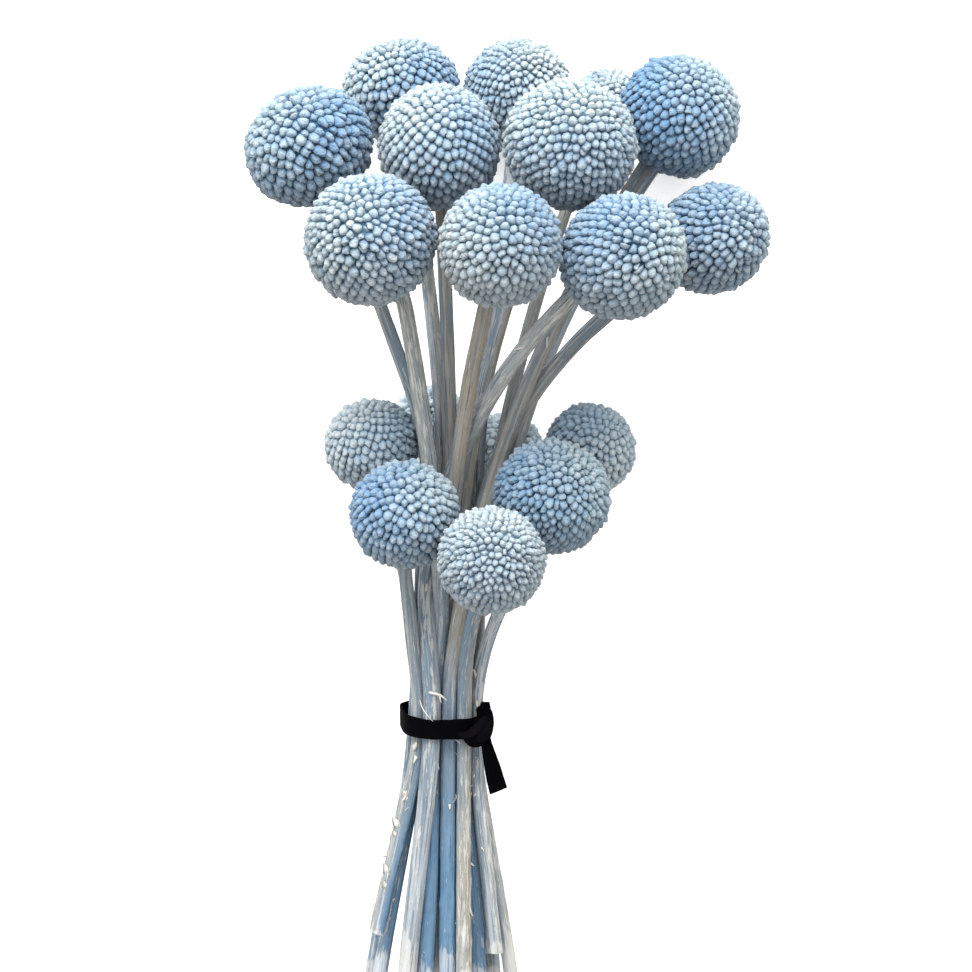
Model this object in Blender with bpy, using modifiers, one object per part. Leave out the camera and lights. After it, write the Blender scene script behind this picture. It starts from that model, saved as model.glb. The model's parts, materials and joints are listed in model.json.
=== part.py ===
"""A bunch of nineteen dried craspedia tied with a black ribbon, lying on its back.

The stems lie along Y with the heads towards +Y. The side that faced the viewer of the
photograph faces up. The tables are in millimetres and the scene is in metres.
"""

import math
import random
from typing import NamedTuple

import bmesh
import bpy
import numpy as np
from mathutils import Vector

MM = 0.001
SEED = 12

# The bundle where the ribbon ties it, and where the stems are cut
TIE = Vector((-10.2, 63.0, 22.0))
CUT_ENDS = Vector((-12.4, -5.0, 11.8))
FAN_X = 1.85
FAN_Z = 1.4
FAN_CURVE = 1.2

# Room between separate pieces, and the spacing of the levels at which stems are kept apart
STEM_GAP = 0.42
HEAD_GAP = 0.6
NECK_GAP = 0.3
LEVEL_STEP = 2.5
SETTLING_ROUNDS = 700
DRAWING_SHARE = 0.75
SMOOTHING = 0.35
LAST_SMOOTHING = 0.08
LONGEST_PUSH = 1.0
TIE_PULL = 0.03
TIE_REACH = 9.0
STIFF_NECK = 10.0
STEM_TAPER = 0.86
STEM_POINTS = 17
COLLAR = 2.5

# Florets: their spacing over a head, how far they stand out, and how far the flat that
# meets the stem is cut in above the hollows between them
FLORET_PITCH = 5.3
FLORET_DEPTH = 2.0
FLORET_JITTER = 0.05
TIP_RISE = 0.25
BASE_CUT = 0.3

# Ribbon: the band, the knot on it, and the routes and widths of its two ends from the knot
RIBBON_WIDTH = 5.0
RIBBON_THICKNESS = 0.6
RIBBON_GAP = 0.35
BAND_POINTS = 44
BAND_TILT = 0.40
BAND_REACH = 6.0
KNOT = Vector((-1.6, 60.0, 32.9))
KNOT_BODY = (6.2, 8.6, 4.4)
KNOT_TURN = 12.0
FOLD = (3.6, 8.8, 5.6)
FOLD_SHIFT = Vector((-0.4, 0.3, 0.2))
FOLD_TURN = -42.0
ROUNDING = 0.28
SHORT_END = ((0.6, 2.0, 0.6), (0.9, 4.6, 1.0), (0.9, 7.2, 0.6))
SHORT_END_WIDTHS = (3.2, 3.1, 3.0)
TAIL = ((0.6, -3.0, 0.4), (1.7, -6.4, 0.2), (3.0, -9.8, -1.2), (4.6, -13.2, -3.4),
        (6.2, -16.6, -6.2))
TAIL_WIDTHS = (2.6, 2.8, 3.4, 4.2, 4.7)


class Flower(NamedTuple):
    """A head, and the course of the stem that carries it."""

    centre: tuple       # middle of the head
    radius: float       # of the head, across its axis
    stretch: float      # length of the head along its axis over its width
    tone: str           # shade of its dye
    bend: float         # how late the stem curves outwards
    slot: tuple         # place of the stem in the tie, across and up from its middle
    foot: float         # where along the bunch the stem is cut
    thickness: float    # of the stem
    nod: tuple = (0.0, 0.0)     # how far the head tips over from its stem, across and up


FLOWERS = (
    # Front row of the upper heads, from left to right
    Flower((-28.0, 181.5, 66.0), 16.4, 1.00, "dusty", 2.3, (-1.8, 5.6), -7.0, 4.3, (-0.45, 0.3)),
    Flower((3.5, 179.5, 76.5), 15.0, 1.03, "pale", 2.2, (-1.8, 1.8), -4.0, 4.2, (0.0, 0.7)),
    Flower((33.0, 177.2, 69.0), 15.2, 1.08, "dusty", 3.1, (-4.0, 6.8), -8.0, 4.4, (0.3, 0.2)),
    Flower((56.0, 183.0, 46.0), 13.6, 1.10, "deep", 3.5, (6.0, 0.8), -5.0, 4.0),
    # Middle row
    Flower((-44.0, 206.0, 45.0), 16.4, 0.92, "deep", 2.2, (-9.6, 0.8), -4.0, 3.6, (-0.3, 0.0)),
    Flower((-11.8, 205.5, 48.0), 15.2, 1.06, "dusty", 2.1, (2.0, -1.6), -3.5, 3.8),
    Flower((20.5, 205.5, 57.5), 16.6, 0.98, "pale", 2.5, (1.8, 2.4), -6.5, 3.8, (0.0, 0.3)),
    Flower((48.0, 214.0, 42.5), 15.2, 1.00, "deep", 1.9, (2.0, 5.2), -2.5, 4.0),
    # Back row, seen above the others; the bunch lies on its first two heads and the last
    Flower((-21.8, 222.8, 14.3), 15.4, 0.88, "deep", 2.5, (-0.6, -4.8), -6.0, 3.8),
    Flower((8.2, 222.7, 13.5), 14.0, 0.98, "dusty", 1.3, (7.0, -4.2), -5.0, 3.6),
    Flower((30.5, 218.0, 24.5), 9.6, 1.00, "pale", 2.0, (7.6, -2.0), 1.8, 3.4),
    Flower((50.5, 213.0, 12.1), 12.6, 1.00, "dusty", 2.2, (6.8, -4.2), -5.0, 3.4),
    # Lower heads, from left to right; the last two lie under the stems
    Flower((-28.8, 132.0, 26.2), 12.1, 0.97, "dusty", 1.8, (-8.4, 4.0), -6.0, 3.5),
    Flower((-20.2, 114.3, 47.5), 13.8, 0.98, "deep", 1.8, (-10.6, 7.6), 8.0, 3.7),
    Flower((1.2, 103.2, 60.5), 13.4, 1.00, "pale", 1.7, (2.8, 5.8), -7.0, 3.8),
    Flower((16.5, 118.8, 42.0), 14.7, 0.98, "dusty", 1.5, (8.8, 5.2), 2.5, 3.5),
    Flower((26.5, 130.8, 19.0), 11.7, 1.02, "deep", 1.6, (10.6, 0.4), -5.0, 3.4),
    Flower((-14.5, 137.5, 9.5), 10.0, 1.00, "pale", 1.5, (-3.6, -7.6), -5.0, 3.3),
    Flower((5.0, 130.5, 9.4), 9.9, 1.00, "pale", 1.5, (1.0, -8.0), -6.0, 3.3),
)

HEAD_TONES = {
    "deep": (0.27, 0.40, 0.62),
    "dusty": (0.38, 0.50, 0.64),
    "pale": (0.50, 0.60, 0.66),
}
STEM_TONE = (0.42, 0.47, 0.50)
RIBBON_TONE = (0.012, 0.012, 0.014)


def material(name, colour, roughness):
    """A plain Principled material."""
    made = bpy.data.materials.new(name)
    made.use_nodes = True
    shader = made.node_tree.nodes["Principled BSDF"]
    shader.inputs["Base Color"].default_value = (*colour, 1.0)
    shader.inputs["Roughness"].default_value = roughness
    shader.inputs["Metallic"].default_value = 0.0
    return made


def new_object(name, data, collection):
    """An object in the collection, made from mesh or curve data."""
    made = bpy.data.objects.new(name, data)
    collection.objects.link(made)
    return made


def apply_modifiers(thing):
    """Replace the object's mesh by what its modifiers make of it."""
    graph = bpy.context.evaluated_depsgraph_get()
    mesh = bpy.data.meshes.new_from_object(thing.evaluated_get(graph))
    thing.modifiers.clear()
    thing.data = mesh


# Courses of the stems

def tie_point(flower):
    """Where a stem passes through the tie."""
    across, up = flower.slot
    return TIE + Vector((across, 0.0, up))


def base_depth(flower):
    """Distance from the middle of a head to the flat under it."""
    return (flower.radius + TIP_RISE - FLORET_DEPTH - BASE_CUT) * flower.stretch


def neck_and_axis(flower):
    """Top end of a stem and the direction in which it points there."""
    centre = Vector(flower.centre)
    start = tie_point(flower)
    nod = Vector((flower.nod[0], 0.0, flower.nod[1]))
    axis = Vector((0.0, 1.0, 0.0))
    for _ in range(30):
        neck = centre - axis * (base_depth(flower) + NECK_GAP)
        collar = neck - axis * COLLAR
        rise = collar.y - start.y
        aim = Vector((flower.bend * (collar.x - start.x) / rise, 1.0,
                      flower.bend * (collar.z - start.z) / rise))
        axis = (axis + (aim + nod).normalized()).normalized()
    return neck, axis


def first_course(flower, level):
    """Place of the stem's middle at a level along the bunch, across and up."""
    start = tie_point(flower)
    if level >= start.y:
        neck, axis = neck_and_axis(flower)
        collar = neck - axis * COLLAR
        share = ((level - start.y) / (collar.y - start.y)) ** flower.bend
        return start.x + (collar.x - start.x) * share, start.z + (collar.z - start.z) * share
    run = (start.y - level) / (TIE.y - CUT_ENDS.y)
    spread = run ** FAN_CURVE
    across, up = flower.slot
    return (start.x + (CUT_ENDS.x - TIE.x) * run + across * (FAN_X - 1.0) * spread,
            start.z + (CUT_ENDS.z - TIE.z) * run + up * (FAN_Z - 1.0) * spread)


def stem_radii(flower, levels):
    """Radius of a stem at each level; it narrows towards the head."""
    neck, _ = neck_and_axis(flower)
    share = np.clip((levels - flower.foot) / (neck.y - flower.foot), 0.0, 1.0)
    return 0.5 * flower.thickness * (1.0 - (1.0 - STEM_TAPER) * share)


class Settling:
    """Stems moved sideways, level by level, until none crosses another piece."""

    def __init__(self):
        ends = [neck_and_axis(flower) for flower in FLOWERS]
        self.necks = [neck for neck, _ in ends]
        self.axes = [axis for _, axis in ends]
        self.collars = [neck - axis * COLLAR for neck, axis in ends]
        top = max(collar.y for collar in self.collars)
        low = min(flower.foot for flower in FLOWERS)
        self.levels = np.arange(low, top + LEVEL_STEP, LEVEL_STEP)
        self.alive = np.array([(self.levels >= flower.foot - LEVEL_STEP) & (self.levels < collar.y)
                               for flower, collar in zip(FLOWERS, self.collars)])
        self.radii = np.array([stem_radii(flower, self.levels) for flower in FLOWERS])
        self.places = np.array([[first_course(flower, level) if live else (0.0, 0.0)
                                 for level, live in zip(self.levels, row)]
                                for flower, row in zip(FLOWERS, self.alive)])
        self.start = self.places.copy()
        reach = np.array([collar.y - self.levels for collar in self.collars])
        self.freedom = np.clip(reach / STIFF_NECK, 0.0, 1.0) * self.alive
        self.both_alive = self.alive[:, None] & self.alive[None]
        self.both_alive &= ~np.eye(len(FLOWERS), dtype=bool)[:, :, None]
        self.room_in_head = self.head_sections()

    def head_sections(self):
        """Distance that each stem keeps from the middle of each head at each level."""
        sections = np.zeros((len(FLOWERS), len(FLOWERS), len(self.levels)))
        for other, flower in enumerate(FLOWERS):
            size = flower.radius * max(1.0, flower.stretch) + TIP_RISE + HEAD_GAP
            reach = size + self.radii
            inside = reach ** 2 - (self.levels - flower.centre[1]) ** 2
            sections[:, other] = np.sqrt(np.maximum(inside, 0.0))
            sections[other, other] = 0.0
        return sections

    def part_stems(self):
        """Moves that push apart the stems that are too close."""
        slopes = np.gradient(self.places, LEVEL_STEP, axis=1)
        inner = self.alive & np.roll(self.alive, 1, axis=1) & np.roll(self.alive, -1, axis=1)
        slopes *= inner[:, :, None]
        apart = self.places[:, None] - self.places[None]
        lean = 0.5 * (slopes[:, None] + slopes[None])
        along = (apart * lean).sum(axis=3) / np.sqrt(1.0 + (lean ** 2).sum(axis=3))
        width = np.sqrt(np.maximum((apart ** 2).sum(axis=3), 1e-6))
        clear = np.sqrt(np.maximum(width ** 2 - along ** 2, 1e-6))
        wanted = self.radii[:, None] + self.radii[None] + STEM_GAP
        short = np.clip((wanted - clear) * width / clear, 0.0, LONGEST_PUSH) * self.both_alive
        return (0.5 * (short / width)[:, :, :, None] * apart).sum(axis=1)

    def leave_heads(self):
        """Moves that push stems out of the heads that they pass."""
        middles = np.array([(flower.centre[0], flower.centre[2]) for flower in FLOWERS])
        apart = self.places[:, None] - middles[None, :, None]
        width = np.sqrt(np.maximum((apart ** 2).sum(axis=3), 1e-6))
        short = np.clip(self.room_in_head - width, 0.0, LONGEST_PUSH) * self.alive[:, None]
        return ((short / width)[:, :, :, None] * apart).sum(axis=1)

    def draw_in(self):
        """Moves that pull the stems together at the tie."""
        near = np.exp(-((self.levels - TIE.y) / TIE_REACH) ** 2)
        middle = np.array((TIE.x, TIE.z))
        return -TIE_PULL * near[None, :, None] * (self.places - middle)

    def run(self):
        """Settle the stems."""
        first = self.alive & ~np.roll(self.alive, 1, axis=1)
        last = self.alive & ~np.roll(self.alive, -1, axis=1)
        for step in range(SETTLING_ROUNDS):
            drawing = step < DRAWING_SHARE * SETTLING_ROUNDS
            push = self.part_stems() + self.leave_heads()
            if drawing:
                push += self.draw_in()
            self.places += push * self.freedom[:, :, None]
            drift = self.places - self.start
            before = np.roll(drift, 1, axis=1)
            after = np.roll(drift, -1, axis=1)
            before[first] = drift[first]
            after[last] = 0.0
            ease = SMOOTHING if drawing else LAST_SMOOTHING
            drift += ease * (0.5 * (before + after) - drift) * self.freedom[:, :, None]
            self.places = self.start + drift * self.alive[:, :, None]
            self.places[:, :, 1] = np.maximum(self.places[:, :, 1], self.radii)

    def middle_line(self, index):
        """Points of a stem from its cut end to its head, with the radius at each."""
        flower = FLOWERS[index]
        collar = self.collars[index]
        kept = self.alive[index] & (self.levels < collar.y - 1.0)
        levels = np.append(self.levels[kept], collar.y)
        across = np.append(self.places[index][kept][:, 0], collar.x)
        up = np.append(self.places[index][kept][:, 1], collar.z)
        fine = np.linspace(flower.foot, collar.y, 80)
        points = np.column_stack((np.interp(fine, levels, across), fine,
                                  np.interp(fine, levels, up)))
        steps = np.linalg.norm(np.diff(points, axis=0), axis=1)
        length = np.append(0.0, np.cumsum(steps))
        stations = np.linspace(0.0, length[-1], STEM_POINTS - 1)
        line = np.column_stack([np.interp(stations, length, column) for column in points.T])
        line = np.vstack((line, self.necks[index]))
        share = np.append(stations / (length[-1] + COLLAR), 1.0)
        radii = 0.5 * flower.thickness * (1.0 - (1.0 - STEM_TAPER) * share)
        return line, radii


# Stems and heads

def make_stem(name, line, radii, collection):
    """A stem as a round curve through its points."""
    curve = bpy.data.curves.new(name, "CURVE")
    curve.dimensions = "3D"
    curve.bevel_depth = MM
    curve.bevel_resolution = 1
    curve.use_fill_caps = True
    spline = curve.splines.new("POLY")
    spline.points.add(len(line) - 1)
    for point, place, radius in zip(spline.points, line, radii):
        point.co = (*(place * MM), 1.0)
        point.radius = radius
    return new_object(name, curve, collection)


def floret_directions(count, draw):
    """Directions of the florets, in a spiral from the tip of the head to its base."""
    turn = math.pi * (3.0 - math.sqrt(5.0))
    for index in range(count):
        height = 1.0 - 2.0 * (index + 0.5) / count
        ring = math.sqrt(1.0 - height * height)
        way = Vector((ring * math.cos(index * turn), ring * math.sin(index * turn), height))
        shift = Vector([draw.uniform(-FLORET_JITTER, FLORET_JITTER) for _ in range(3)])
        yield (way + shift).normalized()


def slice_off(bm, point, direction):
    """Cut off what lies beyond a plane and close the cut."""
    geometry = bm.verts[:] + bm.edges[:] + bm.faces[:]
    cut = bmesh.ops.bisect_plane(bm, geom=geometry, dist=1e-7, plane_co=point,
                                 plane_no=direction, clear_outer=True)
    rims = [item for item in cut["geom_cut"] if isinstance(item, bmesh.types.BMEdge)]
    if rims:
        bmesh.ops.holes_fill(bm, edges=rims)


def make_head(name, flower, axis, draw, collection):
    """A head with its florets as hexagonal points, flat where the stem meets it."""
    area = 4.0 * math.pi * flower.radius ** 2
    count = round(area / (math.sqrt(0.75) * FLORET_PITCH ** 2))
    bm = bmesh.new()
    for way in floret_directions(count, draw):
        bm.verts.new(way)
    bmesh.ops.convex_hull(bm, input=bm.verts[:])
    ridges = bm.edges[:]
    tips = bm.verts[:]
    hollows = bmesh.ops.poke(bm, faces=bm.faces[:])["verts"]
    bmesh.ops.rotate_edges(bm, edges=ridges)
    for vert in tips:
        vert.co = vert.co.normalized() * (flower.radius + TIP_RISE) * MM
    for vert in hollows:
        vert.co = vert.co.normalized() * (flower.radius + TIP_RISE - FLORET_DEPTH) * MM
    bmesh.ops.scale(bm, vec=(1.0, 1.0, flower.stretch), verts=bm.verts)
    base = Vector((0.0, 0.0, -base_depth(flower) * MM))
    slice_off(bm, base, Vector((0.0, 0.0, -1.0)))
    mesh = bpy.data.meshes.new(name)
    head = new_object(name, mesh, collection)
    head.location = Vector(flower.centre) * MM
    head.rotation_mode = "QUATERNION"
    head.rotation_quaternion = axis.to_track_quat("Z", "Y")
    turned = head.rotation_quaternion.inverted()
    floor = turned @ Vector((0.0, 0.0, -flower.centre[2] * MM))
    slice_off(bm, floor, turned @ Vector((0.0, 0.0, -1.0)))
    bmesh.ops.recalc_face_normals(bm, faces=bm.faces)
    bm.to_mesh(mesh)
    bm.free()
    return head


# Ribbon

def outer_hull(points):
    """Convex outline of points in a plane, counter-clockwise."""
    ordered = sorted(map(tuple, points))

    def half(items):
        kept = []
        for item in items:
            while len(kept) > 1:
                (ax, ay), (bx, by) = kept[-2], kept[-1]
                if (bx - ax) * (item[1] - ay) - (by - ay) * (item[0] - ax) > 0.0:
                    break
                kept.pop()
            kept.append(item)
        return kept[:-1]

    return half(ordered) + half(ordered[::-1])


def band_outline(settled):
    """Points around all stems near the tie, evenly spaced, across and up."""
    room = RIBBON_GAP + RIBBON_THICKNESS / 2.0
    rounds = np.linspace(0.0, 2.0 * math.pi, 24, endpoint=False)
    circle = np.column_stack((np.cos(rounds), np.sin(rounds)))
    near = np.abs(settled.levels - TIE.y) <= BAND_REACH
    outline = []
    for index in range(len(FLOWERS)):
        for place, radius in zip(settled.places[index][near], settled.radii[index][near]):
            outline.extend(place + circle * (radius + room))
    hull = np.array(outer_hull(outline))
    closed = np.vstack((hull, hull[:1]))
    length = np.append(0.0, np.cumsum(np.linalg.norm(np.diff(closed, axis=0), axis=1)))
    stations = np.linspace(0.0, length[-1], BAND_POINTS, endpoint=False)
    return np.column_stack([np.interp(stations, length, column) for column in closed.T])


def strip(name, line, widths, across, collection, closed=False):
    """A flat strip along a line, given thickness by Solidify."""
    bm = bmesh.new()
    rows = []
    for place, width, side in zip(line, widths, across):
        edge = side.normalized() * (width / 2.0)
        rows.append([bm.verts.new((place + edge * way) * MM) for way in (-1.0, 1.0)])
    pairs = list(zip(rows, rows[1:]))
    if closed:
        pairs.append((rows[-1], rows[0]))
    for (a, b), (c, d) in pairs:
        bm.faces.new((a, b, d, c))
    bmesh.ops.recalc_face_normals(bm, faces=bm.faces)
    mesh = bpy.data.meshes.new(name)
    bm.to_mesh(mesh)
    bm.free()
    made = new_object(name, mesh, collection)
    thickness = made.modifiers.new("Thickness", "SOLIDIFY")
    thickness.thickness = RIBBON_THICKNESS * MM
    thickness.offset = 0.0
    thickness.use_even_offset = True
    return made


def make_band(settled, collection):
    """The loop of ribbon around the stems, lower in front than behind."""
    outline = band_outline(settled)
    line = [Vector((x, TIE.y - BAND_TILT * (z - TIE.z), z)) for x, z in outline]
    across = []
    for index, place in enumerate(line):
        ahead = line[(index + 1) % len(line)] - line[index - 1]
        outward = Vector((ahead.z, 0.0, -ahead.x))
        across.append(ahead.cross(outward))
    return strip("ribbon", line, [RIBBON_WIDTH] * len(line), across, collection, closed=True)


def lump(name, size, place, turn, collection):
    """A rounded block of folded ribbon in the knot."""
    bm = bmesh.new()
    bmesh.ops.create_cube(bm, size=1.0)
    bmesh.ops.scale(bm, vec=Vector(size) * MM, verts=bm.verts)
    mesh = bpy.data.meshes.new(name)
    bm.to_mesh(mesh)
    bm.free()
    made = new_object(name, mesh, collection)
    made.location = place * MM
    made.rotation_euler.z = math.radians(turn)
    rounding = made.modifiers.new("Rounding", "BEVEL")
    rounding.width = min(size) * ROUNDING * MM
    rounding.segments = 2
    return made


def loose_end(name, route, widths, collection):
    """A free end of ribbon along a route from the knot."""
    line = [KNOT + Vector(step) for step in route]
    across = []
    for index in range(len(line)):
        ahead = line[min(index + 1, len(line) - 1)] - line[max(index - 1, 0)]
        across.append(ahead.cross(Vector((0.0, 0.0, 1.0))))
    return strip(name, line, widths, across, collection)


def make_ribbon(settled, collection, scrap):
    """The band with its knot, the short end above it and the tail below."""
    band = make_band(settled, collection)
    lump("knot_body", KNOT_BODY, KNOT, KNOT_TURN, scrap)
    lump("knot_fold", FOLD, KNOT + FOLD_SHIFT, FOLD_TURN, scrap)
    loose_end("short_end", SHORT_END, SHORT_END_WIDTHS, scrap)
    loose_end("tail", TAIL, TAIL_WIDTHS, scrap)
    join = band.modifiers.new("Join", "BOOLEAN")
    join.operation = "UNION"
    join.operand_type = "COLLECTION"
    join.collection = scrap
    apply_modifiers(band)
    for piece in list(scrap.objects):
        bpy.data.objects.remove(piece)
    return band


def place_on_origin(parts, holder):
    """Move the bunch so that its box stands centred on the origin."""
    graph = bpy.context.evaluated_depsgraph_get()
    places = []
    for part in parts:
        mesh = bpy.data.meshes.new_from_object(part.evaluated_get(graph))
        places.extend(part.matrix_world @ vert.co for vert in mesh.vertices)
        bpy.data.meshes.remove(mesh)
    middle = [0.5 * (min(place[i] for place in places) + max(place[i] for place in places))
              for i in range(2)]
    holder.location = (-middle[0], -middle[1], 0.0)


def main():
    """Build the bunch."""
    for thing in list(bpy.data.objects):
        bpy.data.objects.remove(thing)
    bunch = bpy.data.collections.new("craspedia_bunch")
    scrap = bpy.data.collections.new("ribbon_pieces")
    bpy.context.scene.collection.children.link(bunch)
    bpy.context.scene.collection.children.link(scrap)
    tones = {name: material(f"head_{name}", tone, 0.9) for name, tone in HEAD_TONES.items()}
    stem_skin = material("dyed_stem", STEM_TONE, 0.8)
    black = material("black_ribbon", RIBBON_TONE, 0.75)

    settled = Settling()
    settled.run()
    draw = random.Random(SEED)
    parts = []
    for index, flower in enumerate(FLOWERS):
        line, radii = settled.middle_line(index)
        stem = make_stem(f"stem_{index + 1:02d}", line, radii, bunch)
        stem.data.materials.append(stem_skin)
        head = make_head(f"head_{index + 1:02d}", flower, settled.axes[index], draw, bunch)
        head.data.materials.append(tones[flower.tone])
        parts += [head, stem]
    ribbon = make_ribbon(settled, bunch, scrap)
    ribbon.data.materials.clear()
    ribbon.data.materials.append(black)
    parts.append(ribbon)

    holder = bpy.data.objects.new("bunch", None)
    bunch.objects.link(holder)
    bpy.context.view_layer.update()
    place_on_origin(parts, holder)
    for part in parts:
        part.parent = holder
    bpy.context.view_layer.update()


if __name__ == "__main__":
    main()
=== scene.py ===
"""Looks of a tied bunch of dried craspedia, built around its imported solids.

The bunch lies on its back on a pale floor, and the camera looks straight down on it.
Shapes are worked out in millimetres and written to Blender in metres.
"""

import json
import math

import bpy
import numpy as np
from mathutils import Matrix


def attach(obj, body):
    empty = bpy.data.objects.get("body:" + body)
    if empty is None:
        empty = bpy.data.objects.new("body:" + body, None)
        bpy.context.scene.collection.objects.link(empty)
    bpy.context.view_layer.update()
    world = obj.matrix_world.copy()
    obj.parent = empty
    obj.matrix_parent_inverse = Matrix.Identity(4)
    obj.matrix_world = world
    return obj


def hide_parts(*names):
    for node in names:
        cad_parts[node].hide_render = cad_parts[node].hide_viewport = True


bl_info = {
    "name": "Craspedia Bunch",
    "version": (1, 0, 0),
    "blender": (4, 5, 0),
    "location": "3D View > Sidebar > Bunch",
    "description": "Dresses a tied bunch of dried craspedia",
    "category": "Object",
}

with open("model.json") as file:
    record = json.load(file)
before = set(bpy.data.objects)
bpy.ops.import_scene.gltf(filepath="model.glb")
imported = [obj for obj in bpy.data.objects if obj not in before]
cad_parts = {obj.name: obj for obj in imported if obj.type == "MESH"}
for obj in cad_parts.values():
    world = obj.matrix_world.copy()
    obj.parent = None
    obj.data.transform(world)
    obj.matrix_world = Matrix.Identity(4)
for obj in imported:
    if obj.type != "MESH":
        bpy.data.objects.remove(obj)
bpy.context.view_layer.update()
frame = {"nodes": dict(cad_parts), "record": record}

MM = 0.001
FLOOR_GAP = 0.03
HEADS = sorted(name for name in frame["nodes"] if name.startswith("head"))
SLOTS = {part["node"]: part["material_slot"] for part in frame["record"]["subparts"]}

# Where the ribbon ties the stems, how its band leans, and where its knot sits
TIE = np.array((-15.4, -51.5, 22.0))
BAND_TILT = 0.25
BAND_REACH = 6.0
KNOT = np.array((-6.8, -54.2, 32.9))

# How each head differs: brightness of its dye together with painted light that lifts heads lying in
# shade (most for 18 and 19), warmth, spacing and length of its florets, how many of them are split,
# how uneven they are, and the ways its blue and its pale side face
HEAD_LOOKS = {
    1: (0.34, 0.36, 2.60, 1.20, 0.70, 0.12, 20, 110),
    2: (0.10, 0.52, 2.62, 1.35, 0.35, 0.07, 40, 150),
    3: (0.08, 0.35, 2.62, 1.45, 0.35, 0.06, 150, 40),
    4: (-0.02, 0.30, 2.55, 1.45, 0.40, 0.07, 140, 60),
    5: (-0.12, 0.10, 2.90, 1.60, 0.60, 0.10, 10, 120),
    6: (0.34, 0.05, 2.70, 1.65, 0.15, 0.04, -40, 110),
    7: (0.34, 0.22, 2.50, 1.25, 0.30, 0.10, -85, 80),
    8: (-0.20, -0.20, 2.60, 1.50, 0.20, 0.04, 190, 40),
    9: (0.16, -0.25, 2.58, 1.65, 0.15, 0.04, -30, 130),
    10: (0.55, -0.20, 2.15, 1.40, 0.30, 0.08, 200, 60),
    11: (0.70, 0.00, 2.10, 1.20, 0.30, 0.10, 200, 60),
    12: (0.00, 0.00, 2.50, 1.35, 0.35, 0.10, 90, 0),
    13: (0.56, 0.12, 2.40, 1.50, 0.30, 0.06, -30, 130),
    14: (0.00, 0.05, 2.55, 1.60, 0.35, 0.07, 160, 60),
    15: (0.42, 0.52, 2.10, 1.25, 0.60, 0.12, 250, 120),
    16: (-0.14, 0.05, 2.35, 1.35, 0.40, 0.10, 200, 70),
    17: (0.60, -0.25, 2.35, 1.60, 0.25, 0.05, 120, 0),
    18: (1.50, -0.40, 2.20, 1.30, 0.30, 0.10, 90, 0),
    19: (1.50, -0.40, 2.20, 1.30, 0.30, 0.10, 90, 0),
}

# Heights along the bunch at which the looks of the stems are given: in the upper gap, just
# above the tie, and at the foot
STEM_LEVELS = (55.0, -28.0, -95.0)

# How each stem differs at these three heights: blue dye, straw brown, white chalk; then the
# depth of its ridges and how far up, in mm, its cut end is torn white
STEM_LOOKS = {
    1: ((0.15, 0.42, 0.90), (0.45, 0.15, 0.02), (0.60, 0.50, 0.18), 0.9, 8.5),
    2: ((0.22, 0.25, 0.25), (0.98, 0.60, 0.60), (0.25, 0.30, 0.40), 1.1, 3.0),
    3: ((0.17, 0.42, 0.34), (0.45, 0.10, 0.02), (0.60, 0.55, 0.42), 0.8, 13.0),
    4: ((0.42, 0.30, 0.85), (0.70, 0.60, 0.55), (0.20, 0.30, 0.40), 1.4, 3.0),
    5: ((0.42, 0.55, 0.55), (0.70, 0.10, 0.10), (0.30, 0.55, 0.50), 1.4, 3.5),
    6: ((0.35, 0.20, 0.20), (0.80, 0.60, 0.50), (0.15, 0.30, 0.30), 1.2, 3.0),
    7: ((0.38, 0.20, 0.20), (0.55, 0.55, 0.45), (0.40, 0.30, 0.30), 0.9, 3.0),
    8: ((0.40, 0.18, 0.95), (0.85, 0.55, 0.02), (0.15, 0.40, 0.15), 1.4, 6.5),
    9: ((0.30, 0.25, 0.50), (0.10, 0.40, 0.30), (0.60, 0.30, 0.20), 0.6, 3.0),
    10: ((0.45, 0.30, 0.35), (0.10, 0.30, 0.20), (0.55, 0.40, 0.40), 0.6, 3.0),
    11: ((0.12, 0.20, 0.60), (0.30, 0.55, 0.45), (0.45, 0.30, 0.35), 0.8, 3.0),
    12: ((0.40, 0.30, 0.40), (0.40, 0.50, 0.50), (0.30, 0.30, 0.30), 0.9, 3.0),
    13: ((0.20, 0.45, 0.75), (0.25, 0.10, 0.02), (0.50, 0.55, 0.48), 0.9, 7.0),
    14: ((0.15, 0.30, 0.48), (0.30, 0.30, 0.22), (0.50, 0.42, 0.36), 1.0, 1.0),
    15: ((0.25, 0.42, 0.10), (0.20, 0.25, 0.60), (0.40, 0.40, 0.55), 0.8, 5.0),
    16: ((0.45, 0.50, 0.30), (0.20, 0.05, 0.12), (0.55, 0.65, 0.45), 1.1, 2.5),
    17: ((0.35, 0.35, 0.30), (0.30, 0.20, 0.10), (0.40, 0.45, 0.45), 0.8, 12.0),
    18: ((0.30, 0.20, 0.10), (0.30, 0.40, 0.60), (0.30, 0.30, 0.25), 0.7, 3.0),
    19: ((0.30, 0.25, 0.20), (0.30, 0.40, 0.50), (0.30, 0.30, 0.30), 0.7, 3.0),
}

# How one side of a stem differs: degrees from +X towards the viewer, how much at the three
# heights, and what it has more of
STEM_SIDES = {
    3: (150.0, (1.0, 0.5, 0.0), (0.15, -0.10, 0.0)),
    5: (0.0, (1.0, 0.0, 0.0), (0.15, 0.0, -0.10)),
    7: (180.0, (1.0, 0.0, 0.0), (0.18, -0.30, 0.05)),
    9: (180.0, (1.0, 0.0, 0.0), (0.2, -0.2, 0.0)),
    13: (180.0, (0.0, 0.0, 1.0), (-0.15, 0.0, 0.2)),
    14: (0.0, (0.0, 0.0, 1.0), (0.55, -0.2, -0.12)),
    15: (0.0, (0.5, 1.0, 1.0), (-0.22, 0.25, 0.12)),
    16: (0.0, (0.0, 0.0, 1.0), (-0.12, 0.05, 0.30)),
    17: (0.0, (0.0, 0.0, 1.0), (-0.10, 0.0, 0.30)),
}

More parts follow.
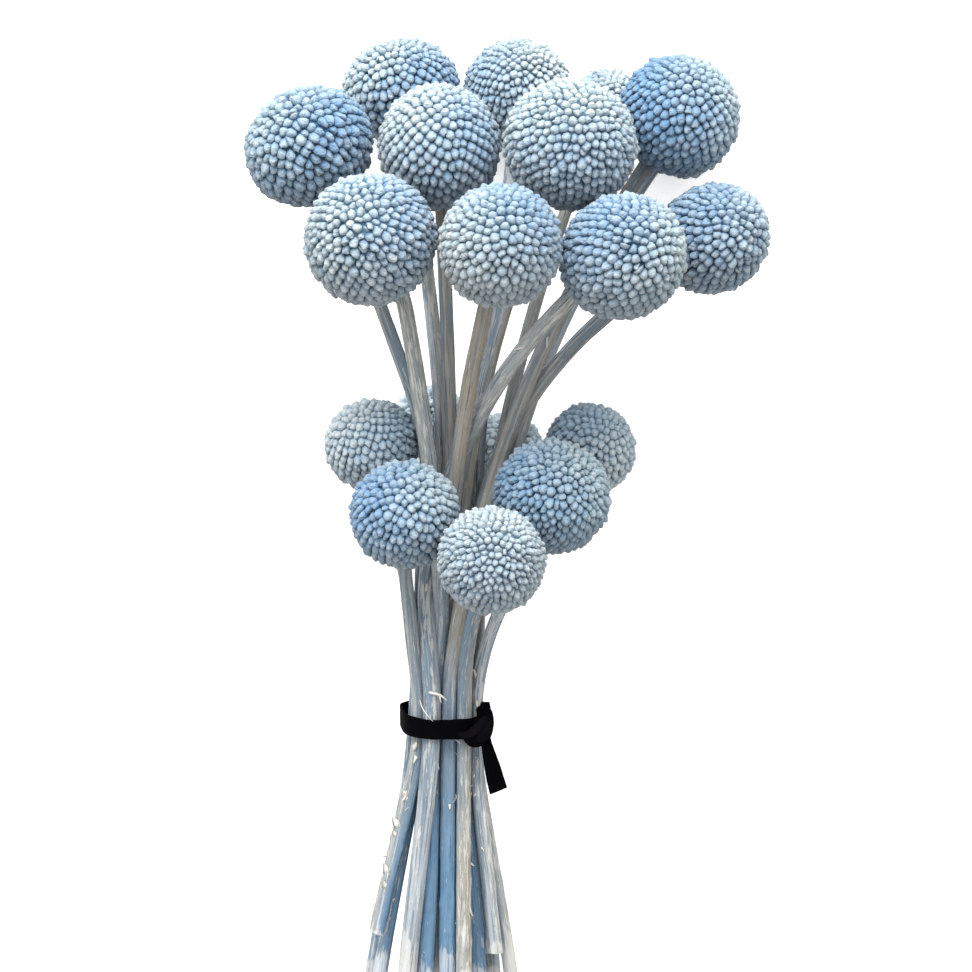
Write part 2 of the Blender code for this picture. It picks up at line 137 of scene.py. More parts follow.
# Loose fibres at the tie: stem, width, and points from root to tip
FIBRES = (
    (3, 0.42, ((-19.6, -44.4, 31.2), (-19.3, -44.8, 32.4), (-17.4, -45.0, 33.2),
               (-16.1, -45.7, 33.4), (-15.0, -46.8, 32.8))),
    (3, 0.20, ((-16.9, -45.2, 33.2), (-16.7, -46.6, 33.4), (-16.4, -47.4, 33.2))),
    (14, 0.17, ((-21.9, -46.8, 29.4), (-21.7, -47.5, 30.8), (-21.0, -49.1, 32.6),
                (-19.8, -50.6, 33.9), (-18.5, -51.9, 34.4))),
)

# Larger curls of dry skin: stem, height along the bunch, way round it in degrees, length,
# width and lift
CURLS = (
    (14, -59.5, 120, 3.0, 0.95, 0.8), (14, -61.0, 70, 2.2, 0.70, 1.0),
    (14, -70.5, 140, 2.6, 0.90, 1.0), (14, -72.0, 90, 2.4, 0.75, 0.9),
    (14, -79.0, 130, 3.0, 1.00, 1.0), (14, -81.5, 100, 2.2, 0.70, 0.9),
    (14, -91.0, 120, 2.6, 0.95, 1.0), (14, -94.0, 100, 2.4, 0.80, 1.0),
    (14, -86.0, 150, 2.2, 0.60, 0.8), (1, -66.5, 110, 2.6, 1.00, 0.6),
    (1, -62.0, 60, 2.2, 0.55, 0.7), (8, -73.0, 70, 1.8, 0.50, 0.8),
    (16, -20.0, 60, 2.2, 0.30, 0.8), (16, -46.0, 90, 2.2, 0.70, 0.7),
    (16, -41.0, 110, 2.6, 0.60, 0.8), (3, 42.0, 100, 2.6, 0.50, 1.0),
    (3, 60.0, 20, 1.6, 0.60, 1.2), (3, -20.0, 80, 2.6, 0.70, 0.7),
    (2, 72.0, 20, 2.4, 0.40, 1.4), (6, 58.0, 10, 1.8, 0.35, 1.3),
    (8, 42.0, 60, 3.6, 0.40, 1.1), (1, 66.0, 80, 2.4, 0.90, 0.6),
    (15, -100.0, 30, 2.2, 0.80, 0.7), (15, -88.0, 20, 1.6, 0.50, 0.8),
)


def colour_setting(name, description, default):
    """A colour in the sidebar."""
    return bpy.props.FloatVectorProperty(
        name=name, description=description, default=default, size=3, subtype="COLOR")


def length_setting(name, description, millimetres):
    """A length in the sidebar."""
    return bpy.props.FloatProperty(
        name=name, description=description, default=millimetres * MM, unit="LENGTH")


class FloretSettings(bpy.types.PropertyGroup):
    """Sizes and colours of the florets."""

    depth: length_setting("Depth", "How far a floret stands out from the core of its head", 2.6)
    fullness: bpy.props.FloatProperty(
        name="Fullness", description="Width of a floret over the room between its neighbours",
        default=1.0, subtype="FACTOR")
    # Hollows: darker and bluer, partly deeper dye and partly painted shade between the florets
    hollow: colour_setting("Hollows", "Dye between the florets", (0.015, 0.060, 0.115))
    deep: colour_setting("Deep dye", "Flanks of the florets of the deep heads",
                         (0.070, 0.166, 0.280))
    dusty: colour_setting("Dusty dye", "Flanks of the florets of the dusty heads",
                          (0.102, 0.195, 0.278))
    pale: colour_setting("Pale dye", "Flanks of the florets of the pale heads",
                         (0.150, 0.235, 0.294))
    strong: colour_setting("Strong dye", "The side of a head that took the most dye",
                           (0.062, 0.166, 0.316))
    faint: colour_setting("Faint dye", "The pale side of a head", (0.215, 0.300, 0.335))
    tip: colour_setting("Powdery tips", "Dry tips of the florets", (0.372, 0.414, 0.424))
    # Undyed: florets that took less dye, and painted shade on the side of a head away from the
    # light; both turn the florets greyer
    undyed: colour_setting("Undyed", "Florets under a head, which took less dye",
                           (0.170, 0.188, 0.196))
    dry_tip: colour_setting("Undyed tips", "Tips of the florets that took less dye",
                            (0.368, 0.382, 0.375))


class StemSettings(bpy.types.PropertyGroup):
    """Sizes and colours of the stems."""

    ring_step: length_setting("Ring step", "Distance between the rings of a stem's skin", 1.2)
    sides: bpy.props.IntProperty(name="Sides", description="Points around a stem", default=24)
    fatness: bpy.props.FloatProperty(
        name="Fatness", description="Width of a stem over that of its solid",
        default=1.05, subtype="FACTOR")
    denim: colour_setting("Blue dye", "Streaks that took the most dye", (0.054, 0.142, 0.240))
    wash: colour_setting("Blue-grey wash", "Most of a stem", (0.320, 0.365, 0.420))
    straw: colour_setting("Straw", "Where the undyed stem shows", (0.255, 0.222, 0.175))
    chalk: colour_setting("Chalk", "Flaked skin and dried pulp", (0.470, 0.462, 0.430))
    pith: colour_setting("Pith", "Inside of a cut stem", (0.400, 0.350, 0.270))


class RibbonSettings(bpy.types.PropertyGroup):
    """Sizes and colours of the ribbon."""

    width: length_setting("Width", "Width of the ribbon", 5.0)
    thickness: length_setting("Thickness", "Thickness of the ribbon", 0.5)
    black: colour_setting("Black", "Colour of the threads", (0.0010, 0.0010, 0.0014))


class StageSettings(bpy.types.PropertyGroup):
    """Camera, light and floor."""

    height: length_setting("Camera height", "Height of the camera above the floor", 1040.0)
    lens: bpy.props.FloatProperty(
        name="Lens", description="Focal length in millimetres", default=148.15)
    floor: colour_setting("Floor", "Colour of the floor", (0.92, 0.92, 0.92))
    glow: bpy.props.FloatProperty(
        name="Glow", description="Light of the floor itself, as on a light table", default=0.35)
    sky: bpy.props.FloatProperty(
        name="Even light", description="Strength of the light from all sides", default=0.98)
    window: bpy.props.FloatProperty(
        name="Soft light", description="Strength of the light from beyond the heads",
        default=1.58)
    lamp: bpy.props.FloatProperty(
        name="Lamp", description="Power of the soft lamp over the heads", default=30.0)


# Meshes

def node_mesh(name):
    """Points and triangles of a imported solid, in millimetres, with shared points merged."""
    mesh = frame["nodes"][name].data
    mesh.calc_loop_triangles()
    points = np.empty(len(mesh.vertices) * 3)
    mesh.vertices.foreach_get("co", points)
    tris = np.empty(len(mesh.loop_triangles) * 3, int)
    mesh.loop_triangles.foreach_get("vertices", tris)
    points, index = np.unique(np.round(points.reshape(-1, 3) / MM, 3), axis=0,
                              return_inverse=True)
    return points, index.reshape(-1)[tris].reshape(-1, 3)


def unit(vectors):
    """Vectors scaled to length one."""
    return vectors / np.linalg.norm(vectors, axis=-1, keepdims=True)


def around(count):
    """Evenly spaced angles of a full turn."""
    return np.linspace(0.0, 2.0 * math.pi, count, endpoint=False)


def toward(degrees):
    """The direction at an angle from +X towards the viewer."""
    turn = math.radians(degrees)
    return np.array((math.cos(turn), 0.0, math.sin(turn)))


def lengths_along(line):
    """Distance of each point of a line from its start."""
    return np.append(0.0, np.cumsum(np.linalg.norm(np.diff(line, axis=0), axis=1)))


def read_at(stations, lengths, rows):
    """Rows of numbers, read between their own lengths at other stations."""
    return np.column_stack([np.interp(stations, lengths, column) for column in rows.T])


def rings_along(line, side, up, wide, tall):
    """Rings around a line, from how far their points are along side and up."""
    return line[:, None] + side[:, None] * wide[..., None] + up[:, None] * tall[..., None]


# Point attributes that are vectors; all others are single values
VECTOR_MARKS = ("grain", "weave")


class Skin:
    """Points, faces and point attributes that are gathered into one mesh."""

    def __init__(self):
        self.parts = []
        self.faces = []
        self.count = 0

    def add(self, points, faces, **marks):
        """Add points, their faces as index arrays, and a value or vector for each point."""
        points = np.asarray(points, float).reshape(-1, 3)
        self.parts.append((points, marks))
        self.faces += [np.asarray(face) + self.count for face in faces]
        self.count += len(points)

    def build(self, name, material):
        """The mesh object that all points and faces make, in metres."""
        mesh = bpy.data.meshes.new(name)
        points = np.concatenate([points for points, _ in self.parts]) * MM
        loops = np.concatenate([face.ravel() for face in self.faces])
        sizes = np.concatenate([np.full(len(face), face.shape[1]) for face in self.faces])
        mesh.vertices.add(len(points))
        mesh.vertices.foreach_set("co", points.ravel())
        mesh.loops.add(len(loops))
        mesh.loops.foreach_set("vertex_index", loops)
        mesh.polygons.add(len(sizes))
        mesh.polygons.foreach_set("loop_start", np.append(0, np.cumsum(sizes)[:-1]))
        mesh.polygons.foreach_set("use_smooth", np.ones(len(sizes), bool))
        for mark in sorted({mark for _, marks in self.parts for mark in marks}):
            width, kind, key = ((3, "FLOAT_VECTOR", "vector") if mark in VECTOR_MARKS
                                else (1, "FLOAT", "value"))
            values = [np.broadcast_to(np.reshape(marks.get(mark, np.zeros(width)), (-1, width)),
                                      (len(points), width)) for points, marks in self.parts]
            layer = mesh.attributes.new(mark, kind, "POINT")
            layer.data.foreach_set(key, np.concatenate(values).astype(float).ravel())
        mesh.validate()
        mesh.update()
        mesh.materials.append(material)
        made = bpy.data.objects.new(name, mesh)
        bpy.context.scene.collection.objects.link(made)
        return made


def tube_faces(stations, sides, closed=False):
    """Quads between the rings of a tube, and fans over its two ends unless it is closed."""
    ring = np.arange(sides)
    after = np.roll(ring, -1)
    count = stations * sides
    low = np.arange(0, count if closed else count - sides, sides)[:, None]
    high = (low + sides) % count
    quads = np.stack((low + ring, low + after, high + after, high + ring), axis=-1)
    if closed:
        return [quads.reshape(-1, 4)]
    top = count - sides
    return [quads.reshape(-1, 4), np.column_stack((after, ring, np.full(sides, count))),
            np.column_stack((top + ring, top + after, np.full(sides, count + 1)))]


def tube_points(rings):
    """Ring points followed by the middles of the two end rings."""
    ends = np.array((rings[0].mean(axis=0), rings[-1].mean(axis=0)))
    return np.concatenate((rings.reshape(-1, 3), ends))


def even_line(points, step, ease):
    """The line through points, resampled at even steps and eased over a distance."""
    lengths = lengths_along(points)
    count = max(4, int(round(lengths[-1] / step)) + 1)
    stations = np.linspace(0.0, lengths[-1], count)
    line = read_at(stations, lengths, points)
    reach = max(1, int(round(ease * 2.5 / step)))
    weights = np.exp(-0.5 * (np.arange(-reach, reach + 1) * step / ease) ** 2)
    weights /= weights.sum()
    before = 2.0 * line[0] - line[reach:0:-1]
    after = 2.0 * line[-1] - line[-2:-reach - 2:-1]
    padded = np.concatenate((before, line, after))
    return np.stack([np.convolve(column, weights, "valid") for column in padded.T], 1), stations


def frames_along(line, first_side):
    """Direction, side and upward vectors at each point of a line, without twist."""
    ahead = unit(np.gradient(line, axis=0))
    sides = []
    side = np.asarray(first_side, float)
    for way in ahead:
        side = side - way * (side @ way)
        side = side / np.linalg.norm(side)
        sides.append(side)
    return ahead, np.array(sides), np.cross(ahead, sides)


def wave(stations, draw, length):
    """A gentle random wave between about -1 and 1 along stations."""
    total = np.zeros_like(stations)
    for term in range(3):
        total += math.cos(term) * np.sin(
            stations * (2.0 * math.pi * (term + 1) / length) * draw.uniform(0.8, 1.2)
            + draw.uniform(0.0, 2.0 * math.pi)) / (term + 1.0)
    return total / 1.3


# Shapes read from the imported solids

def read_head(name):
    """Middle, axis, radius and stretch of a head's solid, and the middle of its flat."""
    points, tris = node_mesh(name)
    corners = points[tris]
    across = np.cross(corners[:, 1] - corners[:, 0], corners[:, 2] - corners[:, 0])
    area = np.linalg.norm(across, axis=1)
    kept = area > 1e-6
    corners, area = corners[kept], area[kept]
    normals = across[kept] / area[:, None]
    alike = normals @ normals.T > 0.99995
    flat = alike[np.argmax(alike @ area)]
    axis = -unit((normals[flat] * area[flat, None]).sum(axis=0))
    base = (corners[flat].mean(axis=1) * area[flat, None]).sum(axis=0) / area[flat].sum()
    along = (points - base) @ axis
    width = np.linalg.norm(points - base - along[:, None] * axis, axis=1)
    radius, length = width.max(), along.max() / 1.87
    middle = 0.87 * length
    for _ in range(3):
        reach = np.sqrt((width / radius) ** 2 + ((along - middle) / length) ** 2)
        outer = reach > 0.965
        terms = np.column_stack((np.ones(outer.sum()), along[outer], along[outer] ** 2))
        a, b, c = np.linalg.lstsq(terms, width[outer] ** 2, rcond=None)[0]
        stretch = math.sqrt(-1.0 / c)
        middle = 0.5 * b * stretch ** 2
        radius = math.sqrt(a + (middle / stretch) ** 2)
        length = radius * stretch
    return base + axis * middle, axis, radius, stretch, base


def read_stem(name, base, axis):
    """Middle line of a stem's solid from its cut end to its head, and its radii."""
    points, tris = node_mesh(name)
    near = np.linalg.norm(points - base, axis=1) < 5.0
    height = np.where(near, (points - base) @ axis, -99.0)
    level = np.full(len(points), -1)
    level[height > height.max() - 0.05] = 0
    depth = 0
    while (level < 0).any():
        touched = tris[(level[tris] == depth).any(axis=1)].ravel()
        fresh = touched[level[touched] < 0]
        if not len(fresh):
            raise RuntimeError(f"{name}: its skin is in more than one part")
        depth += 1
        level[fresh] = depth
    rings = [points[level == ring] for ring in range(depth + 1)][::-1]
    line = np.array([ring.mean(axis=0) for ring in rings])
    radii = np.array([np.linalg.norm(ring - ring.mean(axis=0), axis=1).mean() for ring in rings])
    return line, radii


# Materials

class Value:
    """A socket in a material, so that shader maths can be written as sums in Python."""

    def __init__(self, recipe, socket):
        self.recipe = recipe
        self.socket = socket

    def maths(self, operation, *terms):
        """The result of a Math node on the terms."""
        return self.recipe.node("ShaderNodeMath", {"operation": operation},
                                dict(enumerate(terms)))

    def __add__(self, other):
        return self.maths("ADD", self, other)

    __radd__ = __add__

    def __mul__(self, other):
        return self.maths("MULTIPLY", self, other)

    __rmul__ = __mul__

    def __sub__(self, other):
        return self.maths("SUBTRACT", self, other)

    def __rsub__(self, other):
        return self.maths("SUBTRACT", other, self)

    def step(self, low, high):
        """0 below low and 1 above high, with a smooth rise between."""
        return self.recipe.node("ShaderNodeMapRange", {"interpolation_type": "SMOOTHSTEP"},
                                {"Value": self, "From Min": low, "From Max": high})

    def wave(self):
        """Sine of the value."""
        return self.maths("SINE", self)


class Recipe:
    """The nodes of one material or of the world."""

    def __init__(self, owner, shader="Principled BSDF"):
        self.owner = owner
        owner.use_nodes = True
        self.tree = owner.node_tree
        self.shader = self.tree.nodes[shader]

    def fill(self, socket, value):
        """Link or set one socket."""
        if isinstance(value, Value):
            self.tree.links.new(value.socket, socket)
        elif socket.type == "RGBA":
            socket.default_value = (*value, 1.0)
        else:
            socket.default_value = value

    def node(self, kind, settings, sockets, out=0):
        """Add a node, set it, fill its sockets and return one of its outputs."""
        made = self.tree.nodes.new(kind)
        for name, value in settings.items():
            setattr(made, name, value)
        for key, value in sockets.items():
            self.fill(made.inputs[key], value)
        return Value(self, made.outputs[out])

    def mark(self, name, out="Fac"):
        """A point attribute of the mesh."""
        return self.node("ShaderNodeAttribute", {"attribute_name": name}, {}, out)

    def mix(self, share, first, second, blend="MIX"):
        """A mix of two colours."""
        return self.node("ShaderNodeMix", {"data_type": "RGBA", "blend_type": blend},
                         {0: share, 6: first, 7: second}, 2)

    def noise(self, vector, scale, detail=3.0, rough=0.55):
        """Fractal noise between 0 and 1."""
        return self.node("ShaderNodeTexNoise", {}, {
            "Vector": vector, "Scale": scale, "Detail": detail, "Roughness": rough})

    def streaks(self, vector, fine, long, detail=3.0, rough=0.55):
        """Noise whose patches are drawn out along the third axis."""
        scaled = self.node("ShaderNodeVectorMath", {"operation": "MULTIPLY"},
                           {0: vector, 1: (fine, fine, long)})
        return self.noise(scaled, 1.0, detail, rough)

    def finish(self, sockets):
        """Fill the shader's own sockets."""
        for name, value in sockets.items():
            self.fill(self.shader.inputs[name], value)
        return self.owner

    def bump(self, height, strength, distance):
        """A bump for the shader's normal."""
        return self.node("ShaderNodeBump", {},
                         {"Height": height, "Strength": strength, "Distance": distance})


# What the light heads' florets turn to, partly paler dye and partly painted light on heads lying in
# shade, and the fuller painted light on the ones beyond the stems, which lie in shade
LIGHT_FLANK = (0.360, 0.470, 0.540)
LIGHT_HOLLOW = (0.210, 0.310, 0.380)
PAINTED_LIGHT_FLANK = (0.560, 0.720, 0.820)
PAINTED_LIGHT_TIP = (0.700, 0.800, 0.860)
# Hollows where the florets turn greyer, partly where less dye took and partly painted shade on the
# side away from the light
GREY_HOLLOW = (0.036, 0.058, 0.080)


def floret_material(slot, florets):
    """Dry florets: dark hollows, partly deeper dye and partly painted shade; dyed flanks; powdery
    tips;
    greyer patches that took less dye, with painted shade on the side away from the light; and
    painted light that lifts heads lying in shade.
    """
    recipe = Recipe(bpy.data.materials.new(slot))
    place = recipe.node("ShaderNodeTexCoord", {}, {}, "Object")
    rise = recipe.mark("rise")
    chance = recipe.mark("chance")
    light = recipe.mark("light")
    patch = recipe.noise(place, 95.0, 2.0)
    blotch = recipe.noise(place, 750.0, 3.0)
    knobs = recipe.noise(place, 1050.0, 2.0)
    grain = recipe.noise(place, 2200.0, 3.0, 0.6)
    # Greyer where less dye took (warm heads, random patches), and painted shade on the side of a
    # head away from the light
    grey = (recipe.mark("under") * 0.75 + recipe.mark("warm") * 0.55 + patch * 0.5
            + chance * 0.12 - 0.42).step(0.05, 0.95)
    blue = (recipe.mark("blue") + patch * 0.8 + blotch * 0.3 - 0.55).step(0.15, 1.0)
    faint = (recipe.mark("faint") - patch * 0.6 + 0.3).step(0.35, 1.1)
    flank = recipe.mix(faint * 0.65, getattr(florets, slot.split("_")[1]), florets.faint)
    flank = recipe.mix(blue * 0.66, flank, florets.strong)
    flank = recipe.mix(grey * 0.62, flank, florets.undyed)
    # Paler dye, and painted light that lifts heads lying in shade; heads 18 and 19 take the painted
    # light colours almost fully
    flank = recipe.mix(light.step(0.25, 1.05) * 0.85, flank, LIGHT_FLANK)
    painted_light = light.step(0.65, 1.50)
    flank = recipe.mix(painted_light * 0.9, flank, PAINTED_LIGHT_FLANK)
    hollow = recipe.mix(light.step(0.15, 0.80), florets.hollow, LIGHT_HOLLOW)
    hollow = recipe.mix(grey * 0.6, hollow, GREY_HOLLOW)
    # Painted shade, partly deeper dye: the foot of each floret, and the core, take the darker
    # hollow colour
    body = recipe.mix(rise.step(0.20, 0.62), hollow, flank)
    tip = recipe.mix(blue * 0.40, florets.tip, florets.deep)
    tip = recipe.mix(grey * 0.72, tip, florets.dry_tip)
    tip = recipe.mix(painted_light, tip, PAINTED_LIGHT_TIP)
    # Tips grow paler with the light mark: paler dye, and painted light on heads lying in shade
    powder = rise.step(0.45, 1.02) * (0.60 + light * 0.7 + faint * 0.25 + (chance - 0.5) * 0.20)
    powder = (powder + (blotch.step(0.50, 0.72) - 0.3) * rise.step(0.35, 0.8) * 0.30)
    powder = powder * (0.58 + grain * 0.62)
    colour = recipe.mix(powder, body, tip)
    colour = recipe.mix(1.0, colour, recipe.node(
        "ShaderNodeCombineColor", {}, {"Red": 0.93 + chance * 0.12, "Green": 0.94 + chance * 0.10,
                                       "Blue": 0.95 + chance * 0.08}), "MULTIPLY")
    return recipe.finish({"Base Color": colour, "Roughness": 0.93 - grain * 0.06,
                          "Normal": recipe.bump(grain * 0.9 + knobs * 1.7, 0.9, 0.0006),
                          "Sheen Weight": 0.12, "Sheen Roughness": 0.6,
                          "Specular IOR Level": 0.22})


# Colours of the stems beside those in the sidebar
SAGE = (0.268, 0.276, 0.252)
SLATE = (0.215, 0.238, 0.245)
DULL_INK = (0.070, 0.112, 0.150)
DYED_CHALK = (0.440, 0.455, 0.478)
CRACK = (0.050, 0.062, 0.070)
SPECK = (0.045, 0.050, 0.050)
TORN_SKIN = (0.47, 0.455, 0.42)
PALE_PITH = (0.50, 0.45, 0.37)


def stem_material(slot, stems):
    """Dry stem: lengthwise streaks of dye, straw and chalk, dark cracks, ridges and specks."""
    recipe = Recipe(bpy.data.materials.new(slot))
    grain = recipe.mark("grain", "Vector")
    dye = recipe.mark("dye")
    straw = recipe.mark("straw")
    chalk = recipe.mark("chalk")
    sunny = recipe.mark("sunny")
    ridge = recipe.mark("ridge")
    broad = recipe.streaks(grain, 0.45, 0.022, 3.0, 0.5)
    streak = recipe.streaks(grain, 1.30, 0.040, 4.0, 0.6)
    tan = recipe.streaks(grain, 0.95, 0.030, 4.0, 0.6)
    thread = recipe.streaks(grain, 4.5, 0.18, 3.0, 0.65)
    ragged = recipe.streaks(grain, 1.15, 0.15, 5.0, 0.68)
    crack = recipe.streaks(grain, 2.6, 0.050, 3.0, 0.6)
    speck = recipe.streaks(grain, 2.6, 1.1, 2.0, 0.5)
    # Painted light and shade: the side facing left and towards the viewer is bluer and a little
    # whiter, the other side browner
    blue = (streak * 0.9 + broad * 0.6 + dye * 0.75 + sunny * 0.08).step(1.01, 1.15)
    brown = (tan * 1.0 - broad * 0.3 + straw * 0.55 - sunny * 0.16 + 0.12).step(0.58, 0.80)
    white = (ragged * 0.95 + thread * 0.25 + chalk * 0.34 + recipe.mark("ending") * 0.26
             + sunny * 0.04).step(0.80, 0.90)
    colour = recipe.mix(dye.step(0.14, 0.48), SAGE, stems.wash)
    colour = recipe.mix(broad.step(0.35, 0.65) * 0.6, colour, SLATE)
    colour = recipe.mix(brown * (0.35 + straw * 0.55), colour, stems.straw)
    ink = recipe.mix(dye.step(0.35, 0.80), DULL_INK, stems.denim)
    colour = recipe.mix(blue * (0.24 + dye * 0.38 + ragged * 0.50), colour, ink)
    powder = recipe.mix(dye.step(0.20, 0.80), stems.chalk, DYED_CHALK)
    colour = recipe.mix(white * (0.50 + chalk * 0.45), colour, powder)
    dark = (1.0 - thread.step(0.28, 0.52)) * 0.40
    dark = dark + (1.0 - crack.step(0.30, 0.37)) * (0.30 + ridge * 0.35)
    colour = recipe.mix(dark, colour, CRACK)
    colour = recipe.mix(speck.step(0.68, 0.76) * 0.6, colour, SPECK)
    colour = recipe.mix(recipe.mark("flake") * 0.9, colour, TORN_SKIN)
    colour = recipe.mix(recipe.mark("cut"), colour,
                        recipe.mix(thread, stems.pith, PALE_PITH))
    height = thread * 0.8 + ragged * 0.5 + streak * 0.4 + crack.step(0.28, 0.40) * 0.8 + white * 0.4
    return recipe.finish({"Base Color": colour, "Roughness": 0.88 - white * 0.05,
                          "Normal": recipe.bump(height, 0.65, 0.0004),
                          "Specular IOR Level": 0.22})


# Paler black of the ribs and of the painted sheen on the knot's upper folds
RIB_AND_SHEEN_BLACK = (0.0030, 0.0027, 0.0036)
DUST = (0.06, 0.065, 0.08)


def ribbon_material(slot, ribbon):
    """Black woven ribbon: fine ribs across it and a few lengthwise cords."""
    recipe = Recipe(bpy.data.materials.new(slot))
    weave = recipe.mark("weave", "Vector")
    across = recipe.node("ShaderNodeSeparateXYZ", {}, {0: weave}, 0)
    along = Value(recipe, across.socket.node.outputs[1])
    uneven = recipe.streaks(weave, 0.6, 1.0)
    ribs = (along * 17.0 + uneven * 1.5).wave() * 0.5 + 0.5
    cords = (across * 7.5).wave() * 0.5 + 0.5
    dust = recipe.noise(weave, 9.0, 4.0, 0.7).step(0.60, 0.80)
    worn = recipe.mark("worn")
    # Painted sheen: the knot's upper folds are a paler black, with a trace of dust
    colour = recipe.mix(ribs * 0.15 + worn * 0.85, ribbon.black, RIB_AND_SHEEN_BLACK)
    colour = recipe.mix(dust * 0.05 * worn, colour, DUST)
    height = ribs * 0.6 + cords * 0.35 + uneven * 0.2
    return recipe.finish({"Base Color": colour, "Roughness": 0.82 - ribs * 0.10,
                          "Normal": recipe.bump(height, 0.5, 0.00012),
                          "Specular IOR Level": 0.01})


def floor_material(colour, glow):
    """A plain pale matt floor, lit a little from inside."""
    recipe = Recipe(bpy.data.materials.new("floor"))
    return recipe.finish({"Base Color": colour, "Roughness": 0.9,
                          "Emission Color": (1.0, 1.0, 1.0), "Emission Strength": glow,
                          "Specular IOR Level": 0.1})


# Heads

# A floret from its foot to its tip: heights, widths, how far its lobes show, and its colour
BUD_HEIGHTS = np.array((0.00, 0.40, 0.68, 0.90))
BUD_WIDTHS = np.array((0.82, 1.00, 0.86, 0.46))
BUD_LOBES = np.array((0.00, 0.25, 0.85, 1.00))
BUD_RISE = np.array((0.00, 0.42, 0.74, 0.92))
BUD_SIDES = 9
BUD_POINTS = len(BUD_HEIGHTS) * BUD_SIDES + 1
NEIGHBOURS = 9
LAST_FLORET = math.pi * 0.935

# Settling: rounds, how hard florets push, and how far apart they rest over their spacing
ROUNDS = 50
PUSH = 0.16
REST = 1.22
# The widest a floret gets over its spacing, and how much of its depth the core leaves free
WIDEST = 0.59
FREE_DEPTH = 0.64


def spiral(shape, pitch):
    """Directions and spacing of florets in a spiral from the tip of a head to its base."""
    radius, _, length = shape
    angles = np.linspace(0.0, LAST_FLORET, 400)
    spacing = pitch * (1.0 - 0.20 * np.exp(-(angles / 0.40) ** 2))
    rim = np.hypot(radius * np.cos(angles), length * np.sin(angles))
    share = 2.0 * math.pi * radius * np.sin(angles) * rim / (spacing ** 2 * math.sqrt(0.75))
    count = np.append(0.0, np.cumsum(0.5 * (share[1:] + share[:-1])) * angles[1])
    order = np.arange(0.5, count[-1])
    places = np.interp(order, count, angles)
    turns = order * math.pi * (3.0 - math.sqrt(5.0))
    ways = np.column_stack((np.sin(places) * np.cos(turns), np.sin(places) * np.sin(turns),
                            np.cos(places)))
    return ways, np.interp(places, angles, spacing)


def on_head(ways, shape):
    """Places on a head's skin, with their outward, downward and sideways directions."""
    outward = unit(ways / shape)
    sideways = unit(np.cross((0.0, 0.0, 1.0), outward))
    return ways * shape, outward, np.cross(sideways, outward), sideways


def nearest(places, count):
    """Indices of the nearest other places of each place."""
    square = (places ** 2).sum(axis=1)
    apart = square[:, None] + square[None] - 2.0 * places @ places.T
    np.fill_diagonal(apart, np.inf)
    return np.argpartition(apart, count, axis=1)[:, :count]


def settle(ways, shape, spacing, oval):
    """Push florets apart until they sit evenly, in cells longer away from the tip."""
    for turn in range(ROUNDS):
        places, _, down, sideways = on_head(ways, shape)
        if turn % 5 == 0:
            near = nearest(places, NEIGHBOURS + 3)
        gaps = places[near] - places[:, None]
        far = (gaps * down[:, None]).sum(axis=2) / oval[:, None]
        wide = (gaps * sideways[:, None]).sum(axis=2) * oval[:, None]
        apart = np.maximum(np.hypot(far, wide), 0.2)
        push = np.clip(REST * spacing[:, None] / apart - 1.0, 0.0, 1.0) * PUSH
        places = (places - down * (push * far).sum(axis=1, keepdims=True) * oval[:, None]
                  - sideways * (push * wide).sum(axis=1, keepdims=True) / oval[:, None])
        ways = unit(places / shape)
        ways[:, 2] = np.maximum(ways[:, 2], math.cos(LAST_FLORET))
        ways = unit(ways)
    return ways


def room(places, down, sideways, weights, turns):
    """How far each floret can spread in each direction before it meets its neighbours."""
    near = nearest(places, NEIGHBOURS)
    gaps = places[near] - places[:, None]
    share = weights[:, None] / (weights[:, None] + weights[near])
    reach = np.linalg.norm(gaps, axis=2) * share
    heading = np.arctan2((gaps * sideways[:, None]).sum(axis=2),
                         (gaps * down[:, None]).sum(axis=2))
    facing = np.clip(np.cos(turns - heading[..., None]), 0.0, 1.0) / reach[..., None]
    return 1.0 / np.maximum((facing ** 5).sum(axis=1) ** (1.0 / 5.0), 1e-6)


def add_core(skin, centre, basis, shape, **marks):
    """The ball under the florets, a little uneven; it takes the dark hollow colour, partly deeper
    dye and partly painted shade.
    """
    rows, sides = 18, 28
    angles = np.linspace(0.06, math.pi - 0.06, rows)[:, None]
    turns = around(sides)[None]
    swell = 1.0 + 0.015 * np.sin(3.0 * turns) * np.sin(2.0 * angles)
    ball = np.stack((swell * np.sin(angles) * np.cos(turns), swell * np.sin(angles) * np.sin(turns),
                     swell * np.cos(angles)), axis=-1) * shape
    rings = ball[::-1] @ basis + centre
    skin.add(tube_points(rings), tube_faces(rows, sides), **marks)


def facing_way(normals, degrees):
    """How much normals face a way across the bunch, from 0 to 1, with a little of the top."""
    way = toward(degrees)[[0, 2, 1]] + (0.0, 0.0, 0.35)
    return 0.5 + 0.5 * normals @ unit(way)


def bud_faces(buds):
    """Quads and tip triangles of all florets of a head, which are open at the foot."""
    quads, _, fans = tube_faces(len(BUD_HEIGHTS), BUD_SIDES)
    first = (np.arange(buds) * BUD_POINTS)[:, None, None]
    return [(quads + first).reshape(-1, 4), (fans - (0, 0, 1) + first).reshape(-1, 3)]


